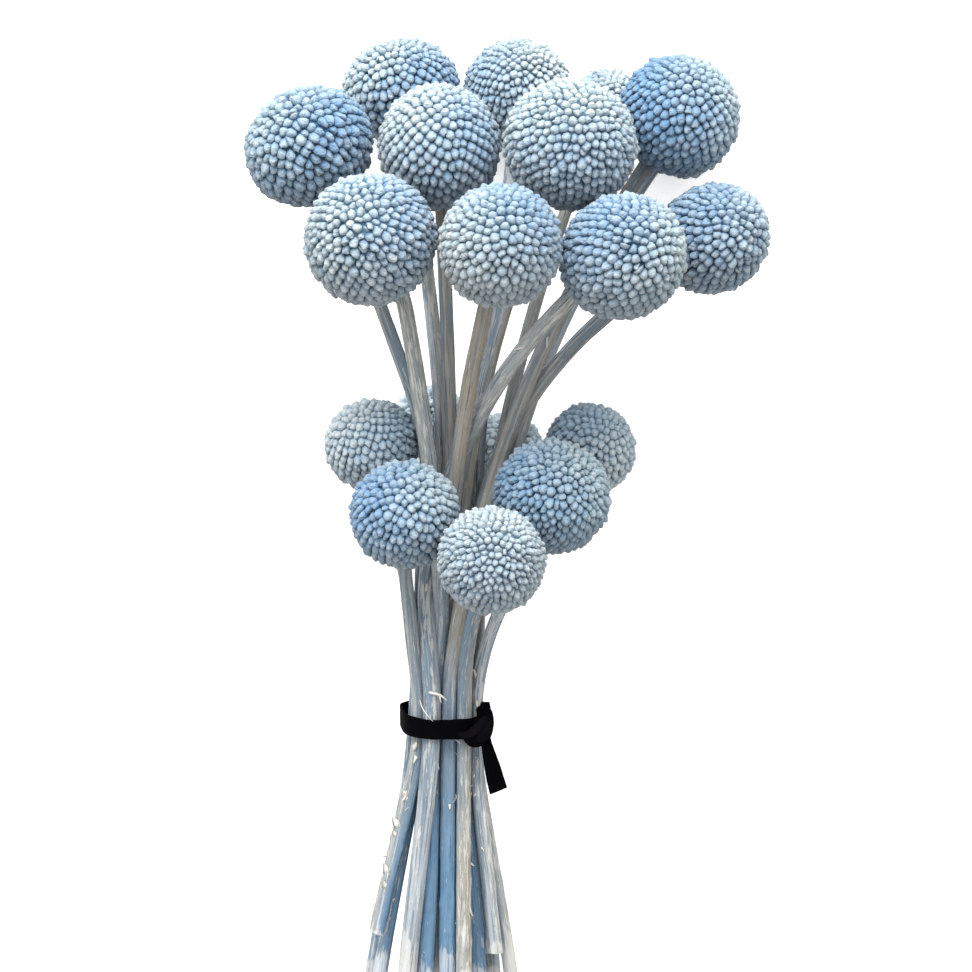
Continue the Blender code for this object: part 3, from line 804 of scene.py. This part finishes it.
def make_head(name, florets, material):
    """A head: a core and its florets, some of them split in two, three or four lobes."""
    number = int(name[-2:])
    light, warm, pitch, length, split, uneven, blue_way, faint_way = HEAD_LOOKS[number]
    draw = np.random.default_rng(100 + number)
    centre, axis, radius, stretch, _ = read_head(name)
    side = unit(np.cross(axis, (0.0, 0.3, 1.0)))
    basis = np.array((side, np.cross(axis, side), axis))
    depth = florets.depth / MM * min(1.0, radius / 12.0 + 0.1)
    shape = np.array((radius, radius, radius * stretch))

    # Places of the florets
    ways, spacing = spiral(shape, pitch)
    buds = len(ways)
    ways = unit(ways + draw.normal(0.0, 0.20 + uneven, (buds, 3)) * spacing[:, None] / radius)
    below = np.arccos(np.clip(ways[:, 2], -1.0, 1.0))
    oval = 1.0 + (math.sqrt(length) - 1.0) * np.clip(below / 0.4, 0.0, 1.0)
    places, outward, down, sideways = on_head(settle(ways, shape, spacing, oval), shape)
    turned = outward @ basis

    # Their widths, lobes, heights and leans
    weights = np.clip(draw.normal(1.0, 0.06 + uneven, buds), 0.7, 1.35)
    weights = np.where(draw.random(buds) < uneven * 0.8, weights * 0.7, weights)
    turn = around(BUD_SIDES)
    reach = room(places, down, sideways, weights, turn) * florets.fullness
    reach = np.minimum(reach, spacing[:, None] * WIDEST * (
        1.0 + (oval[:, None] ** 2 - 1.0) * 0.8 * np.cos(turn) ** 2))
    kind = draw.random(buds)
    lobes = np.select([kind < 0.35 * split, kind < 0.75 * split, kind < split], [2, 3, 4], 1)
    notch = np.where(lobes == 1, draw.uniform(0.0, 0.06, buds), draw.uniform(0.14, 0.32, buds))
    phase = draw.uniform(0.0, 2.0 * math.pi, buds)
    tall = depth + draw.normal(0.0, 0.18, buds) + (weights - 1.0) * 1.1
    lean = draw.normal(0.0, 0.05 + 0.4 * uneven, (buds, 2))
    lean[:, 0] += 0.08 + 0.46 * np.clip((below - 0.3) / 1.3, 0.0, 1.0)
    up = unit(outward + down * lean[:, :1] + sideways * lean[:, 1:])

    # Their points, ring by ring and then the tip
    ripple = np.cos(lobes[:, None] * turn + phase[:, None])[:, None]
    lobed = notch[:, None, None] * BUD_LOBES[:, None]
    rough = draw.normal(0.0, 0.05, (buds, 1, BUD_SIDES)) * BUD_LOBES[:, None]
    width = reach[:, None] * BUD_WIDTHS[:, None] * (1.0 - lobed * (0.8 - ripple) + rough)
    height = (BUD_HEIGHTS[:, None] - 0.12 * lobed * (1.0 - ripple)) * tall[:, None, None] - depth
    rings = (places[:, None, None] + up[:, None, None] * height[..., None]
             + down[:, None, None] * (width * np.cos(turn))[..., None]
             + sideways[:, None, None] * (width * np.sin(turn))[..., None])
    dent = np.where(lobes > 1, notch * 0.8, 0.0)
    poles = places + up * (tall * (1.0 - dent) - depth)[:, None]
    points = np.concatenate((rings.reshape(buds, -1, 3), poles[:, None]), axis=1)
    points = (points @ basis + centre).reshape(-1, 3)
    points[:, 2] = np.maximum(points[:, 2], FLOOR_GAP)

    rise = np.concatenate((np.tile(np.repeat(BUD_RISE, BUD_SIDES), (buds, 1)),
                           (1.0 - dent * 0.8)[:, None]), axis=1)
    # Under: how far a floret faces away from the light beyond the heads; it drives the painted
    # shade on that side
    marks = {"chance": draw.random(buds), "blue": facing_way(turned, blue_way),
             "faint": facing_way(turned, faint_way),
             "under": 0.5 - 0.5 * turned @ unit(axis * 0.4 + (0.0, 1.0, 0.15))}
    marks = {mark: np.repeat(values, BUD_POINTS) for mark, values in marks.items()}

    skin = Skin()
    core = shape - depth * FREE_DEPTH
    add_core(skin, centre, basis, core, rise=0.1, chance=0.3, light=light, warm=warm)
    skin.add(points, bud_faces(buds), rise=rise.reshape(-1), light=light, warm=warm, **marks)
    made = skin.build(f"florets_{number:02d}", material)
    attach(made, "root")
    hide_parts(name)


class BUNCH_OT_heads(bpy.types.Operator):
    """Build the heads from their florets"""

    bl_idname = "bunch.heads"
    bl_label = "Heads"

    def execute(self, context):
        florets = context.scene.bunch_florets
        slots = sorted({SLOTS[name] for name in HEADS})
        materials = {slot: floret_material(slot, florets) for slot in slots}
        for name in HEADS:
            make_head(name, florets, materials[SLOTS[name]])
        return {"FINISHED"}


# Stems

# Ridges: how many go round a stem, and their height over its radius. Furrows: the angles that
# one lies between, and its depth. Small curls of skin: least and most of them, of their
# lengths, widths and lifts
RIDGES = ((3, 0.020), (5, 0.022), (7, 0.026), (9, 0.018))
FURROWS = ((-1.5, -0.3, 0.10), (-2.9, -1.6, 0.07))
KNOBS = 9
SMALL_CURLS = (8, 16)
SMALL_CURL_SIZES = ((0.6, 2.6), (0.10, 0.32), (0.2, 1.1))
PEEL_THICKNESS = 0.07


def add_strip(skin, line, side, up, wide, tall):
    """A torn strip of dry skin along a line."""
    skin.add(tube_points(rings_along(line, side, up, wide, tall)),
             tube_faces(len(line), wide.shape[1]), flake=1.0, chalk=0.8)


def add_peeling(skin, root, out, along, size, draw):
    """A strip of dry skin that curls off a stem; size is its length, width and lift."""
    length, width, lift = size
    side = np.cross(along, out)
    way = along * draw.choice((-1.0, 1.0)) + side * draw.normal(0.0, 0.6)
    way = unit(way - out * (way @ out))
    share = np.linspace(0.0, 1.0, 7)
    line = (root[None] + way[None] * (length * np.sin(share * 1.5))[:, None]
            + out[None] * (lift * share ** 1.7 - 0.12)[:, None]
            + side[None] * (draw.normal(0.0, 0.12) * length * share ** 2)[:, None])
    ahead = unit(np.gradient(line, axis=0))
    flat = unit(np.cross(ahead, out))
    taper = (1.0 - 0.85 * share ** 1.5) * width * (1.0 + draw.normal(0.0, 0.12, len(share)))
    turn = around(4)
    add_strip(skin, line, flat, np.cross(flat, ahead), taper[:, None] * np.cos(turn),
              PEEL_THICKNESS * np.sin(turn)[None])


def add_fibre(skin, points, width):
    """A loose fibre through points, narrower towards its free end."""
    line, stations = even_line(np.array(points), 0.25, 0.6)
    _, side, up = frames_along(line, (0.0, 0.0, 1.0))
    taper = (width * (1.0 - 0.8 * (stations / stations[-1]) ** 3))[:, None]
    turn = around(6)
    add_strip(skin, line, side, up, 0.6 * taper * np.cos(turn), taper * np.sin(turn))


def stem_relief(stations, turn, ridge, draw):
    """How far a stem's skin rises and falls, as a share of its radius."""
    waver = 0.5 * wave(stations, draw, 120.0)[:, None]
    relief = np.zeros((len(stations), len(turn)))
    for count, depth in RIDGES:
        strength = 0.75 + 0.35 * wave(stations, draw, 60.0)[:, None]
        relief += depth * strength * np.cos(
            count * (turn[None] + waver) + draw.uniform(0.0, 2.0 * math.pi))
    for middle, depth in [(draw.uniform(low, high), depth) for low, high, depth in FURROWS]:
        away = np.angle(np.exp(1j * (turn[None] - middle - 0.35 * waver)))
        strength = np.clip(0.4 + 0.7 * wave(stations, draw, 80.0), 0.0, 1.0)[:, None]
        relief -= np.exp(-(away / 0.17) ** 2) * depth * strength
    rough = draw.normal(0.0, 1.0, (len(stations) + 8, len(turn)))
    rough = np.stack([np.convolve(column, np.ones(9) / 3.0, "valid") for column in rough.T], 1)
    relief += rough * 0.014
    for _ in range(KNOBS):
        place, way = draw.uniform(10.0, stations[-1] - 6.0), draw.uniform(0.0, 2.0 * math.pi)
        away = np.angle(np.exp(1j * (turn[None] - way)))
        relief += 0.14 * np.exp(-((stations[:, None] - place) / 1.1) ** 2 - (away / 0.35) ** 2)
    return relief * ridge


def stem_rings(number, stems, draw):
    """A stem's middle line, distances and directions along it, and its rings of points."""
    _, axis, _, _, base = read_head(f"head_{number:02d}")
    line, radii = read_stem(f"stem_{number:02d}", base, axis)
    line = np.vstack((line, base + axis * 1.2, base + axis * 2.6))
    radii = np.append(radii, (radii[-1], radii[-1]))
    lengths = lengths_along(line)
    line, stations = even_line(line, stems.ring_step / MM, 4.0)
    radii = np.interp(stations, lengths, radii) * stems.fatness
    radii *= 1.0 + 0.035 * wave(stations, draw, 70.0)
    radii *= 1.0 + 0.22 * np.exp(-((stations[-1] - stations) / 3.0) ** 2)
    ahead, side, up = frames_along(line, (1.0, 0.0, 0.0))
    turn = around(stems.sides)
    ridge = STEM_LOOKS[number][3]
    reach = radii[:, None] * (1.0 + stem_relief(stations, turn, ridge, draw))
    rings = rings_along(line, side, up, reach * np.cos(turn), reach * np.sin(turn))
    slant = draw.uniform(-0.35, 0.35, 2)
    shift = slant[0] * reach * np.cos(turn) + slant[1] * reach * np.sin(turn)
    shift *= np.exp(-stations / 1.5)[:, None]
    rings += ahead[:, None] * shift[..., None]
    rings[..., 2] += np.maximum(0.02 - rings[..., 2].min(axis=1), 0.0)[:, None]
    return line, stations, ahead, rings


def stem_marks(number, line, stations, rings, draw):
    """What a stem's material reads at each of its points: place, dye and other looks."""
    *looks, ridge, torn = STEM_LOOKS[number]
    turn = around(rings.shape[1])
    start = draw.uniform(0.0, 90.0, 3)
    grain = np.stack(np.broadcast_arrays(2.0 * np.cos(turn) + start[0],
                                         2.0 * np.sin(turn) + start[1],
                                         stations[:, None] + start[2]), axis=-1)
    level = -line[:, 1] + 6.0 * wave(stations, draw, 50.0)
    levels = [-height for height in STEM_LEVELS]
    ending = np.exp(-(stations / (torn * draw.uniform(0.9, 1.1))) ** 4)
    outward = unit(rings - line[:, None])
    # Painted light: how far each point faces left and towards the viewer, where the stem is painted
    # as lit
    sunny = 0.5 + 0.5 * outward @ unit(np.array((-0.8, 0.2, 0.55)))
    marks = {"grain": np.concatenate((grain.reshape(-1, 3), grain[0, :1], grain[-1, :1])),
             "ending": np.append(np.repeat(ending, len(turn)), (ending[0], ending[-1])),
             "sunny": np.append(sunny, (0.5, 0.5)), "ridge": ridge}
    degrees, strengths, changes = STEM_SIDES.get(number, (0.0, (0.0,) * 3, (0.0,) * 3))
    facing = outward @ toward(degrees) * np.interp(level, levels, strengths)[:, None]
    for mark, values, change in zip(("dye", "straw", "chalk"), looks, changes):
        values = np.interp(level, levels, values)
        marks[mark] = np.append(np.clip(values[:, None] + change * facing, 0.0, 1.0),
                                (values[0], values[-1]))
    return marks


def add_cut(skin, end, ahead):
    """The cut end of a stem, a little hollow towards its middle."""
    sides = len(end)
    middle = end.mean(axis=0)
    cap = np.stack((middle + (end - middle) * 0.25 + ahead * 0.05,
                    middle + (end - middle) * 0.72 + ahead * 0.10, end))
    points = np.concatenate((cap.reshape(-1, 3), cap[0].mean(axis=0)[None]))
    ring = np.arange(sides)
    cover = np.column_stack((np.roll(ring, -1), ring, np.full(sides, 3 * sides)))
    skin.add(points, [tube_faces(3, sides)[0], cover], grain=points * 3.0, cut=1.0, chalk=0.3)


def make_stem(number, stems, material):
    """A stem with ridges, slanted cut end, peeling skin and loose fibres."""
    name = f"stem_{number:02d}"
    draw = np.random.default_rng(500 + number)
    line, stations, ahead, rings = stem_rings(number, stems, draw)
    skin = Skin()
    skin.add(tube_points(rings), tube_faces(len(line), stems.sides)[::2],
             **stem_marks(number, line, stations, rings, draw))
    add_cut(skin, rings[0], ahead[0])

    def peel(row, column, size):
        out = unit(rings[row, column] - line[row])
        add_peeling(skin, rings[row, column], out, ahead[row], size, draw)

    for _ in range(draw.integers(*SMALL_CURLS)):
        row, column = int(draw.integers(4, len(line) - 8)), int(draw.integers(0, stems.sides))
        peel(row, column, [draw.uniform(*span) for span in SMALL_CURL_SIZES])
    for owner, height, degrees, *size in CURLS:
        if owner == number:
            row = int(np.argmin(np.abs(line[:, 1] - height)))
            peel(row, int(np.argmax((rings[row] - line[row]) @ toward(degrees))), size)
    for owner, width, points in FIBRES:
        if owner == number:
            add_fibre(skin, points, width)
    made = skin.build(f"dyed_stem_{number:02d}", material)
    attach(made, "root")
    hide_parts(name)


class BUNCH_OT_stems(bpy.types.Operator):
    """Build the stems with their streaks and peeling skin"""

    bl_idname = "bunch.stems"
    bl_label = "Stems"

    def execute(self, context):
        stems = context.scene.bunch_stems
        material = stem_material("stem", stems)
        for name in HEADS:
            make_stem(int(name[-2:]), stems, material)
        return {"FINISHED"}


# Ribbon

def outer_hull(points):
    """Convex outline of points in a plane, counter-clockwise."""
    ordered = sorted(map(tuple, points))

    def half(items):
        kept = []
        for item in items:
            while len(kept) > 1:
                (ax, ay), (bx, by) = kept[-2], kept[-1]
                if (bx - ax) * (item[1] - ay) - (by - ay) * (item[0] - ax) > 0.0:
                    break
                kept.pop()
            kept.append(item)
        return kept[:-1]

    return np.array(half(ordered) + half(ordered[::-1]))


# The band: its points, rounds of easing, slack, and how far it is drawn out at the left
BAND_POINTS = 180
BAND_EASING = 45
BAND_SLACK = 1.02
BAND_PULL = 1.05


def band_loop(stems, thickness):
    """Points of the band's middle around the stems, evenly spaced."""
    turn = around(24)
    circle = np.column_stack((np.cos(turn), np.sin(turn)))
    outline = []
    for number in range(1, len(HEADS) + 1):
        _, axis, _, _, base = read_head(f"head_{number:02d}")
        line, radii = read_stem(f"stem_{number:02d}", base, axis)
        for level in np.linspace(TIE[1] - BAND_REACH, TIE[1] + BAND_REACH, 7):
            place = np.array([np.interp(level, line[:, 1], line[:, i]) for i in (0, 2)])
            radius = np.interp(level, line[:, 1], radii) * stems.fatness
            outline.extend(place + circle * (radius + 0.1 + thickness / 2.0))
    hull = outer_hull(outline)
    closed = np.vstack((hull, hull[:1]))
    lengths = lengths_along(closed)
    loop = read_at(np.linspace(0.0, lengths[-1], BAND_POINTS, endpoint=False), lengths, closed)
    for _ in range(BAND_EASING):
        loop = 0.5 * loop + 0.25 * (np.roll(loop, 1, axis=0) + np.roll(loop, -1, axis=0))
    middle = loop.mean(axis=0)
    loop = middle + (loop - middle) * BAND_SLACK
    left = np.clip((middle[0] - loop[:, 0]) / np.ptp(loop[:, 0]) * 2.0, 0.0, 1.0)
    loop[:, 0] -= BAND_PULL * left ** 2
    return np.column_stack((loop[:, 0], TIE[1] - BAND_TILT * (loop[:, 1] - TIE[2]), loop[:, 1]))


# A ribbon's cut: places across its half width, and thickness there, more at the selvedges
CUT_ACROSS = np.array((-1.0, -0.985, -0.9, -0.6, -0.3, 0.0, 0.3, 0.6, 0.9, 0.985, 1.0))
CUT_SWELL = np.array((0.35, 0.9, 1.15, 0.95, 1, 1, 1, 0.95, 1.15, 0.9, 0.35))


def add_strap(skin, line, across, over, widths, thickness, curls, closed=False, worn=0.0):
    """A strip of ribbon along a line; across and over are unit vectors at each point."""
    place = np.append(CUT_ACROSS, CUT_ACROSS[::-1])
    swell = np.append(CUT_SWELL, -CUT_SWELL[::-1]) * thickness / 2.0
    wide = place * widths[:, None] / 2.0
    rings = rings_along(line, across, over, wide, curls[:, None] * place ** 2 + swell)
    weave = np.stack(np.broadcast_arrays(wide, lengths_along(line)[:, None], 0.0), axis=-1)
    points = rings.reshape(-1, 3) if closed else tube_points(rings)
    ends = [] if closed else [weave[0, :1], weave[-1, :1]]
    skin.add(points, tube_faces(len(line), len(place), closed),
             weave=np.concatenate([weave.reshape(-1, 3)] + ends), worn=worn)


def free_strap(skin, route, widths, thickness, facing, curl, worn=0.0):
    """A strip of ribbon along a route, its face turned to the facing vectors."""
    lengths = lengths_along(route)
    line, stations = even_line(route, 0.5, 1.0)
    facing = read_at(stations, lengths, np.asarray(facing, float))
    ahead = unit(np.gradient(line, axis=0))
    over = unit(facing - ahead * (facing * ahead).sum(axis=1, keepdims=True))
    add_strap(skin, line, np.cross(ahead, over), over, np.interp(stations, lengths, widths),
              thickness, np.full(len(line), curl), worn=worn)


def add_wad(skin, middle, size):
    """Ribbon that is pulled into a rounded wad, with soft pleats."""
    rows, sides = 16, 28
    angles = np.linspace(0.05, math.pi - 0.05, rows)[:, None]
    turns = around(sides)[None]
    pleats = 1.0 + 0.05 * np.sin(5.0 * turns + 2.0 * angles) * np.sin(angles)
    ball = np.stack((np.sin(angles) * np.cos(turns) * pleats, np.cos(angles) * np.ones_like(turns),
                     np.sin(angles) * np.sin(turns) * pleats), axis=-1) * size
    weave = np.concatenate((ball.reshape(-1, 3), ball[0, :1], ball[-1, :1]))
    skin.add(tube_points(ball + middle), tube_faces(rows, sides), weave=weave)


# Wads inside the knot: middle and size. Pleats of the short end: shift and height
KNOT_WADS = (((0.7, 0.5, -0.5), (2.3, 3.3, 1.9)), ((-1.1, -1.7, 0.2), (2.5, 2.4, 1.3)),
             ((1.2, 3.4, 0.0), (2.0, 2.4, 1.2)))
SHORT_END_PLEATS = ((-0.80, 5.6), (-0.15, 7.1), (0.60, 7.2))
FOLD_THICKNESS = 0.8

# The tail: points from the knot's middle, widths and the ways it faces
TAIL = (((1.2, -0.6, 0.2), (1.7, -3.4, 0.2), (2.4, -6.2, -0.6), (3.2, -9.4, -2.2),
         (3.9, -12.4, -4.0), (4.8, -15.7, -6.3)), (2.4, 2.8, 3.4, 4.1, 4.5, 4.8),
        ((0, 0, 1), (0, 0, 1), (0, 0, 1), (0, 0, 1), (0.1, 0.1, 1), (0.1, 0.2, 1)))

# Folds of the knot: points from its middle, widths, the ways they face, curl, and how much painted
# sheen and dust they take
KNOT_FOLDS = (
    (((-5.2, -1.0, -0.6), (-3.9, -1.5, 0.6), (-2.2, -0.7, 1.8), (-0.5, 0.7, 2.3), (0.9, 2.5, 2.1),
      (1.6, 4.0, 1.0)), (1.4, 1.8, 2.3, 2.4, 1.8, 1.0),
     ((-0.2, 0.1, 1), (-0.2, 0.2, 1), (-0.3, 0.4, 1), (-0.3, 0.4, 1), (-0.2, 0.4, 1), (0, 0.6, 1)),
     -0.30, 1.0),
    (((2.9, 3.6, 0.0), (2.9, 2.2, 1.4), (2.2, 0.7, 2.1), (1.2, -0.9, 2.2), (0.2, -2.4, 1.6),
      (-0.4, -3.4, 0.2)), (1.4, 2.2, 2.8, 3.2, 3.0, 2.0),
     ((0.6, 0.2, 0.8), (0.5, 0.1, 1), (0.3, 0, 1), (0.2, -0.1, 1), (0.1, -0.4, 1), (0, -0.8, 0.6)),
     -0.40, 0.8),
    (((1.9, 5.6, -0.4), (2.4, 4.8, 0.9), (2.7, 3.2, 1.3), (2.8, 1.4, 1.0), (2.7, -0.3, 0.2),
      (2.3, -1.9, -0.8)), (1.4, 1.9, 2.0, 1.9, 1.9, 1.6),
     ((0.5, 0.6, 0.8), (0.5, 0.2, 1), (0.6, 0, 0.9), (0.7, 0, 0.8), (0.8, -0.2, 0.6),
      (0.8, -0.5, 0.3)),
     -0.25, 0.1),
    (((-4.3, -0.6, -0.2), (-3.3, -2.3, 0.6), (-2.0, -3.5, 0.9), (-0.6, -3.7, 0.8),
      (0.9, -2.9, 0.4)), (1.2, 1.9, 2.0, 1.9, 1.4),
     ((-0.4, -0.2, 1), (-0.3, -0.4, 1), (-0.1, -0.5, 1), (0.1, -0.6, 1), (0.3, -0.6, 0.8)),
     -0.25, 0.0),
)


def ribbon_piece(name, skin, material):
    """Finish one piece of the ribbon."""
    made = skin.build(name, material)
    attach(made, "root")
    return made


class BUNCH_OT_ribbon(bpy.types.Operator):
    """Build the ribbon: band, knot, short end and tail"""

    bl_idname = "bunch.ribbon"
    bl_label = "Ribbon"

    def execute(self, context):
        ribbon = context.scene.bunch_ribbon
        stems = context.scene.bunch_stems
        material = ribbon_material("ribbon", ribbon)
        width, thickness = ribbon.width / MM, ribbon.thickness / MM

        line = band_loop(stems, thickness)
        ahead = unit(np.roll(line, -1, axis=0) - np.roll(line, 1, axis=0))
        out = np.cross(ahead, (0.0, 1.0, 0.0))
        out = unit(out * np.sign((out * (line - line.mean(axis=0))).sum(axis=1, keepdims=True)))
        turn = around(len(line))
        widths = width * (1.0 + 0.015 * np.sin(5.0 * turn) + 0.01 * np.sin(11.0 * turn + 1.0))
        skin = Skin()
        add_strap(skin, line, np.cross(ahead, out), out, widths, thickness,
                  0.10 * np.sin(7.0 * turn), True)
        band = ribbon_piece("ribbon_band", skin, material)
        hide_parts("ribbon")

        skin = Skin()
        for centre, size in KNOT_WADS:
            add_wad(skin, KNOT + centre, np.array(size))
        for route, widths, facing, curl, worn in KNOT_FOLDS:
            free_strap(skin, KNOT + route, widths, FOLD_THICKNESS, facing, curl, worn)
        ribbon_piece("ribbon_knot", skin, material)

        skin = Skin()
        up = (0.0, 0.0, 1.0)
        for shift, tall in SHORT_END_PLEATS:
            route = KNOT + np.array(((0.9, 1.8, 0.2), (0.9 + shift * 0.6, 3.9, 1.0 - 0.3 * shift),
                                     (1.0 + shift * 1.3, 5.6, 1.3 + 0.3 * shift),
                                     (1.1 + shift, tall, 0.9 + 0.4 * shift)))
            free_strap(skin, route, (2.2, 1.7, 2.1, 1.3), thickness,
                       (up, (0.3 * shift, 0, 1), (0.5 * shift, 0.1, 1), (0.2, 0.4, 1)), 0.4)
        ribbon_piece("ribbon_short_end", skin, material)

        skin = Skin()
        route, widths, facing = TAIL
        free_strap(skin, KNOT + route, widths, thickness, facing, -0.15)
        ribbon_piece("ribbon_tail", skin, material)
        return {"FINISHED"}


# The way to the soft light, the lamp's sides, place and tilt, what the camera is over, and half
# a side of the floor
LIGHT_WAY = np.array((-0.12, 0.75, 0.65))
LAMP_SIDES = (1.1, 0.7)
LAMP_PLACE = (-0.15, 0.95, 0.75)
LAMP_TILT = math.radians(-50.0)
CAMERA_OVER = (-0.0052, 0.0073)
FLOOR_REACH = 4.0


class BUNCH_OT_stage(bpy.types.Operator):
    """Set the floor, the light and the camera"""

    bl_idname = "bunch.stage"
    bl_label = "Stage"

    def execute(self, context):
        stage = context.scene.bunch_stage
        scene = context.scene
        mesh = bpy.data.meshes.new("floor")
        corners = ((-1.0, -1.0), (1.0, -1.0), (1.0, 1.0), (-1.0, 1.0))
        mesh.from_pydata([(x * FLOOR_REACH, y * FLOOR_REACH, 0.0) for x, y in corners],
                         [], [(0, 1, 2, 3)])
        mesh.materials.append(floor_material(stage.floor, stage.glow))
        floor = bpy.data.objects.new("floor", mesh)
        floor.visible_diffuse = False
        scene.collection.objects.link(floor)

        world = bpy.data.worlds.new("studio")
        recipe = Recipe(world, "Background")
        way = recipe.node("ShaderNodeTexCoord", {}, {}, "Generated")
        soft = recipe.node("ShaderNodeVectorMath", {"operation": "DOT_PRODUCT"},
                           {0: way, 1: unit(LIGHT_WAY)}, "Value")
        soft = soft.maths("MAXIMUM", soft, 0.0)
        recipe.finish({"Color": (1.0, 1.0, 1.0), "Strength": soft * stage.window + stage.sky})
        scene.world = world

        light = bpy.data.lights.new("soft_lamp", "AREA")
        light.shape = "RECTANGLE"
        light.size, light.size_y = LAMP_SIDES
        light.energy = stage.lamp
        lamp = bpy.data.objects.new("soft_lamp", light)
        lamp.location = LAMP_PLACE
        lamp.rotation_euler = (LAMP_TILT, 0.0, 0.0)
        scene.collection.objects.link(lamp)

        lens = bpy.data.cameras.new("camera")
        lens.lens = stage.lens
        lens.sensor_width = 36.0
        lens.clip_start = 0.01
        lens.clip_end = 20.0
        camera = bpy.data.objects.new("camera", lens)
        camera.location = (*CAMERA_OVER, stage.height)
        scene.collection.objects.link(camera)
        scene.camera = camera
        scene.view_settings.view_transform = "Standard"
        scene.view_settings.look = "None"
        return {"FINISHED"}


class BUNCH_PT_sidebar(bpy.types.Panel):
    """Steps of the bunch and what can be changed"""

    bl_label = "Craspedia Bunch"
    bl_idname = "BUNCH_PT_sidebar"
    bl_space_type = "VIEW_3D"
    bl_region_type = "UI"
    bl_category = "Bunch"

    def draw(self, context):
        for step, settings in STEPS:
            box = self.layout.box()
            box.operator(step.bl_idname)
            group = getattr(context.scene, settings)
            for name in group.__annotations__:
                box.prop(group, name)


GROUPS = {
    "bunch_florets": FloretSettings,
    "bunch_stems": StemSettings,
    "bunch_ribbon": RibbonSettings,
    "bunch_stage": StageSettings,
}
STEPS = (
    (BUNCH_OT_stage, "bunch_stage"),
    (BUNCH_OT_heads, "bunch_florets"),
    (BUNCH_OT_stems, "bunch_stems"),
    (BUNCH_OT_ribbon, "bunch_ribbon"),
)


def register():
    for name, group in GROUPS.items():
        bpy.utils.register_class(group)
        setattr(bpy.types.Scene, name, bpy.props.PointerProperty(type=group))
    for step, _ in STEPS:
        bpy.utils.register_class(step)
    bpy.utils.register_class(BUNCH_PT_sidebar)


def unregister():
    bpy.utils.unregister_class(BUNCH_PT_sidebar)
    for step, _ in reversed(STEPS):
        bpy.utils.unregister_class(step)
    for name, group in GROUPS.items():
        delattr(bpy.types.Scene, name)
        bpy.utils.unregister_class(group)


def main():
    """Build every piece."""
    register()
    bpy.ops.bunch.stage()
    bpy.ops.bunch.heads()
    bpy.ops.bunch.stems()
    bpy.ops.bunch.ribbon()


if __name__ == "__main__":
    main()
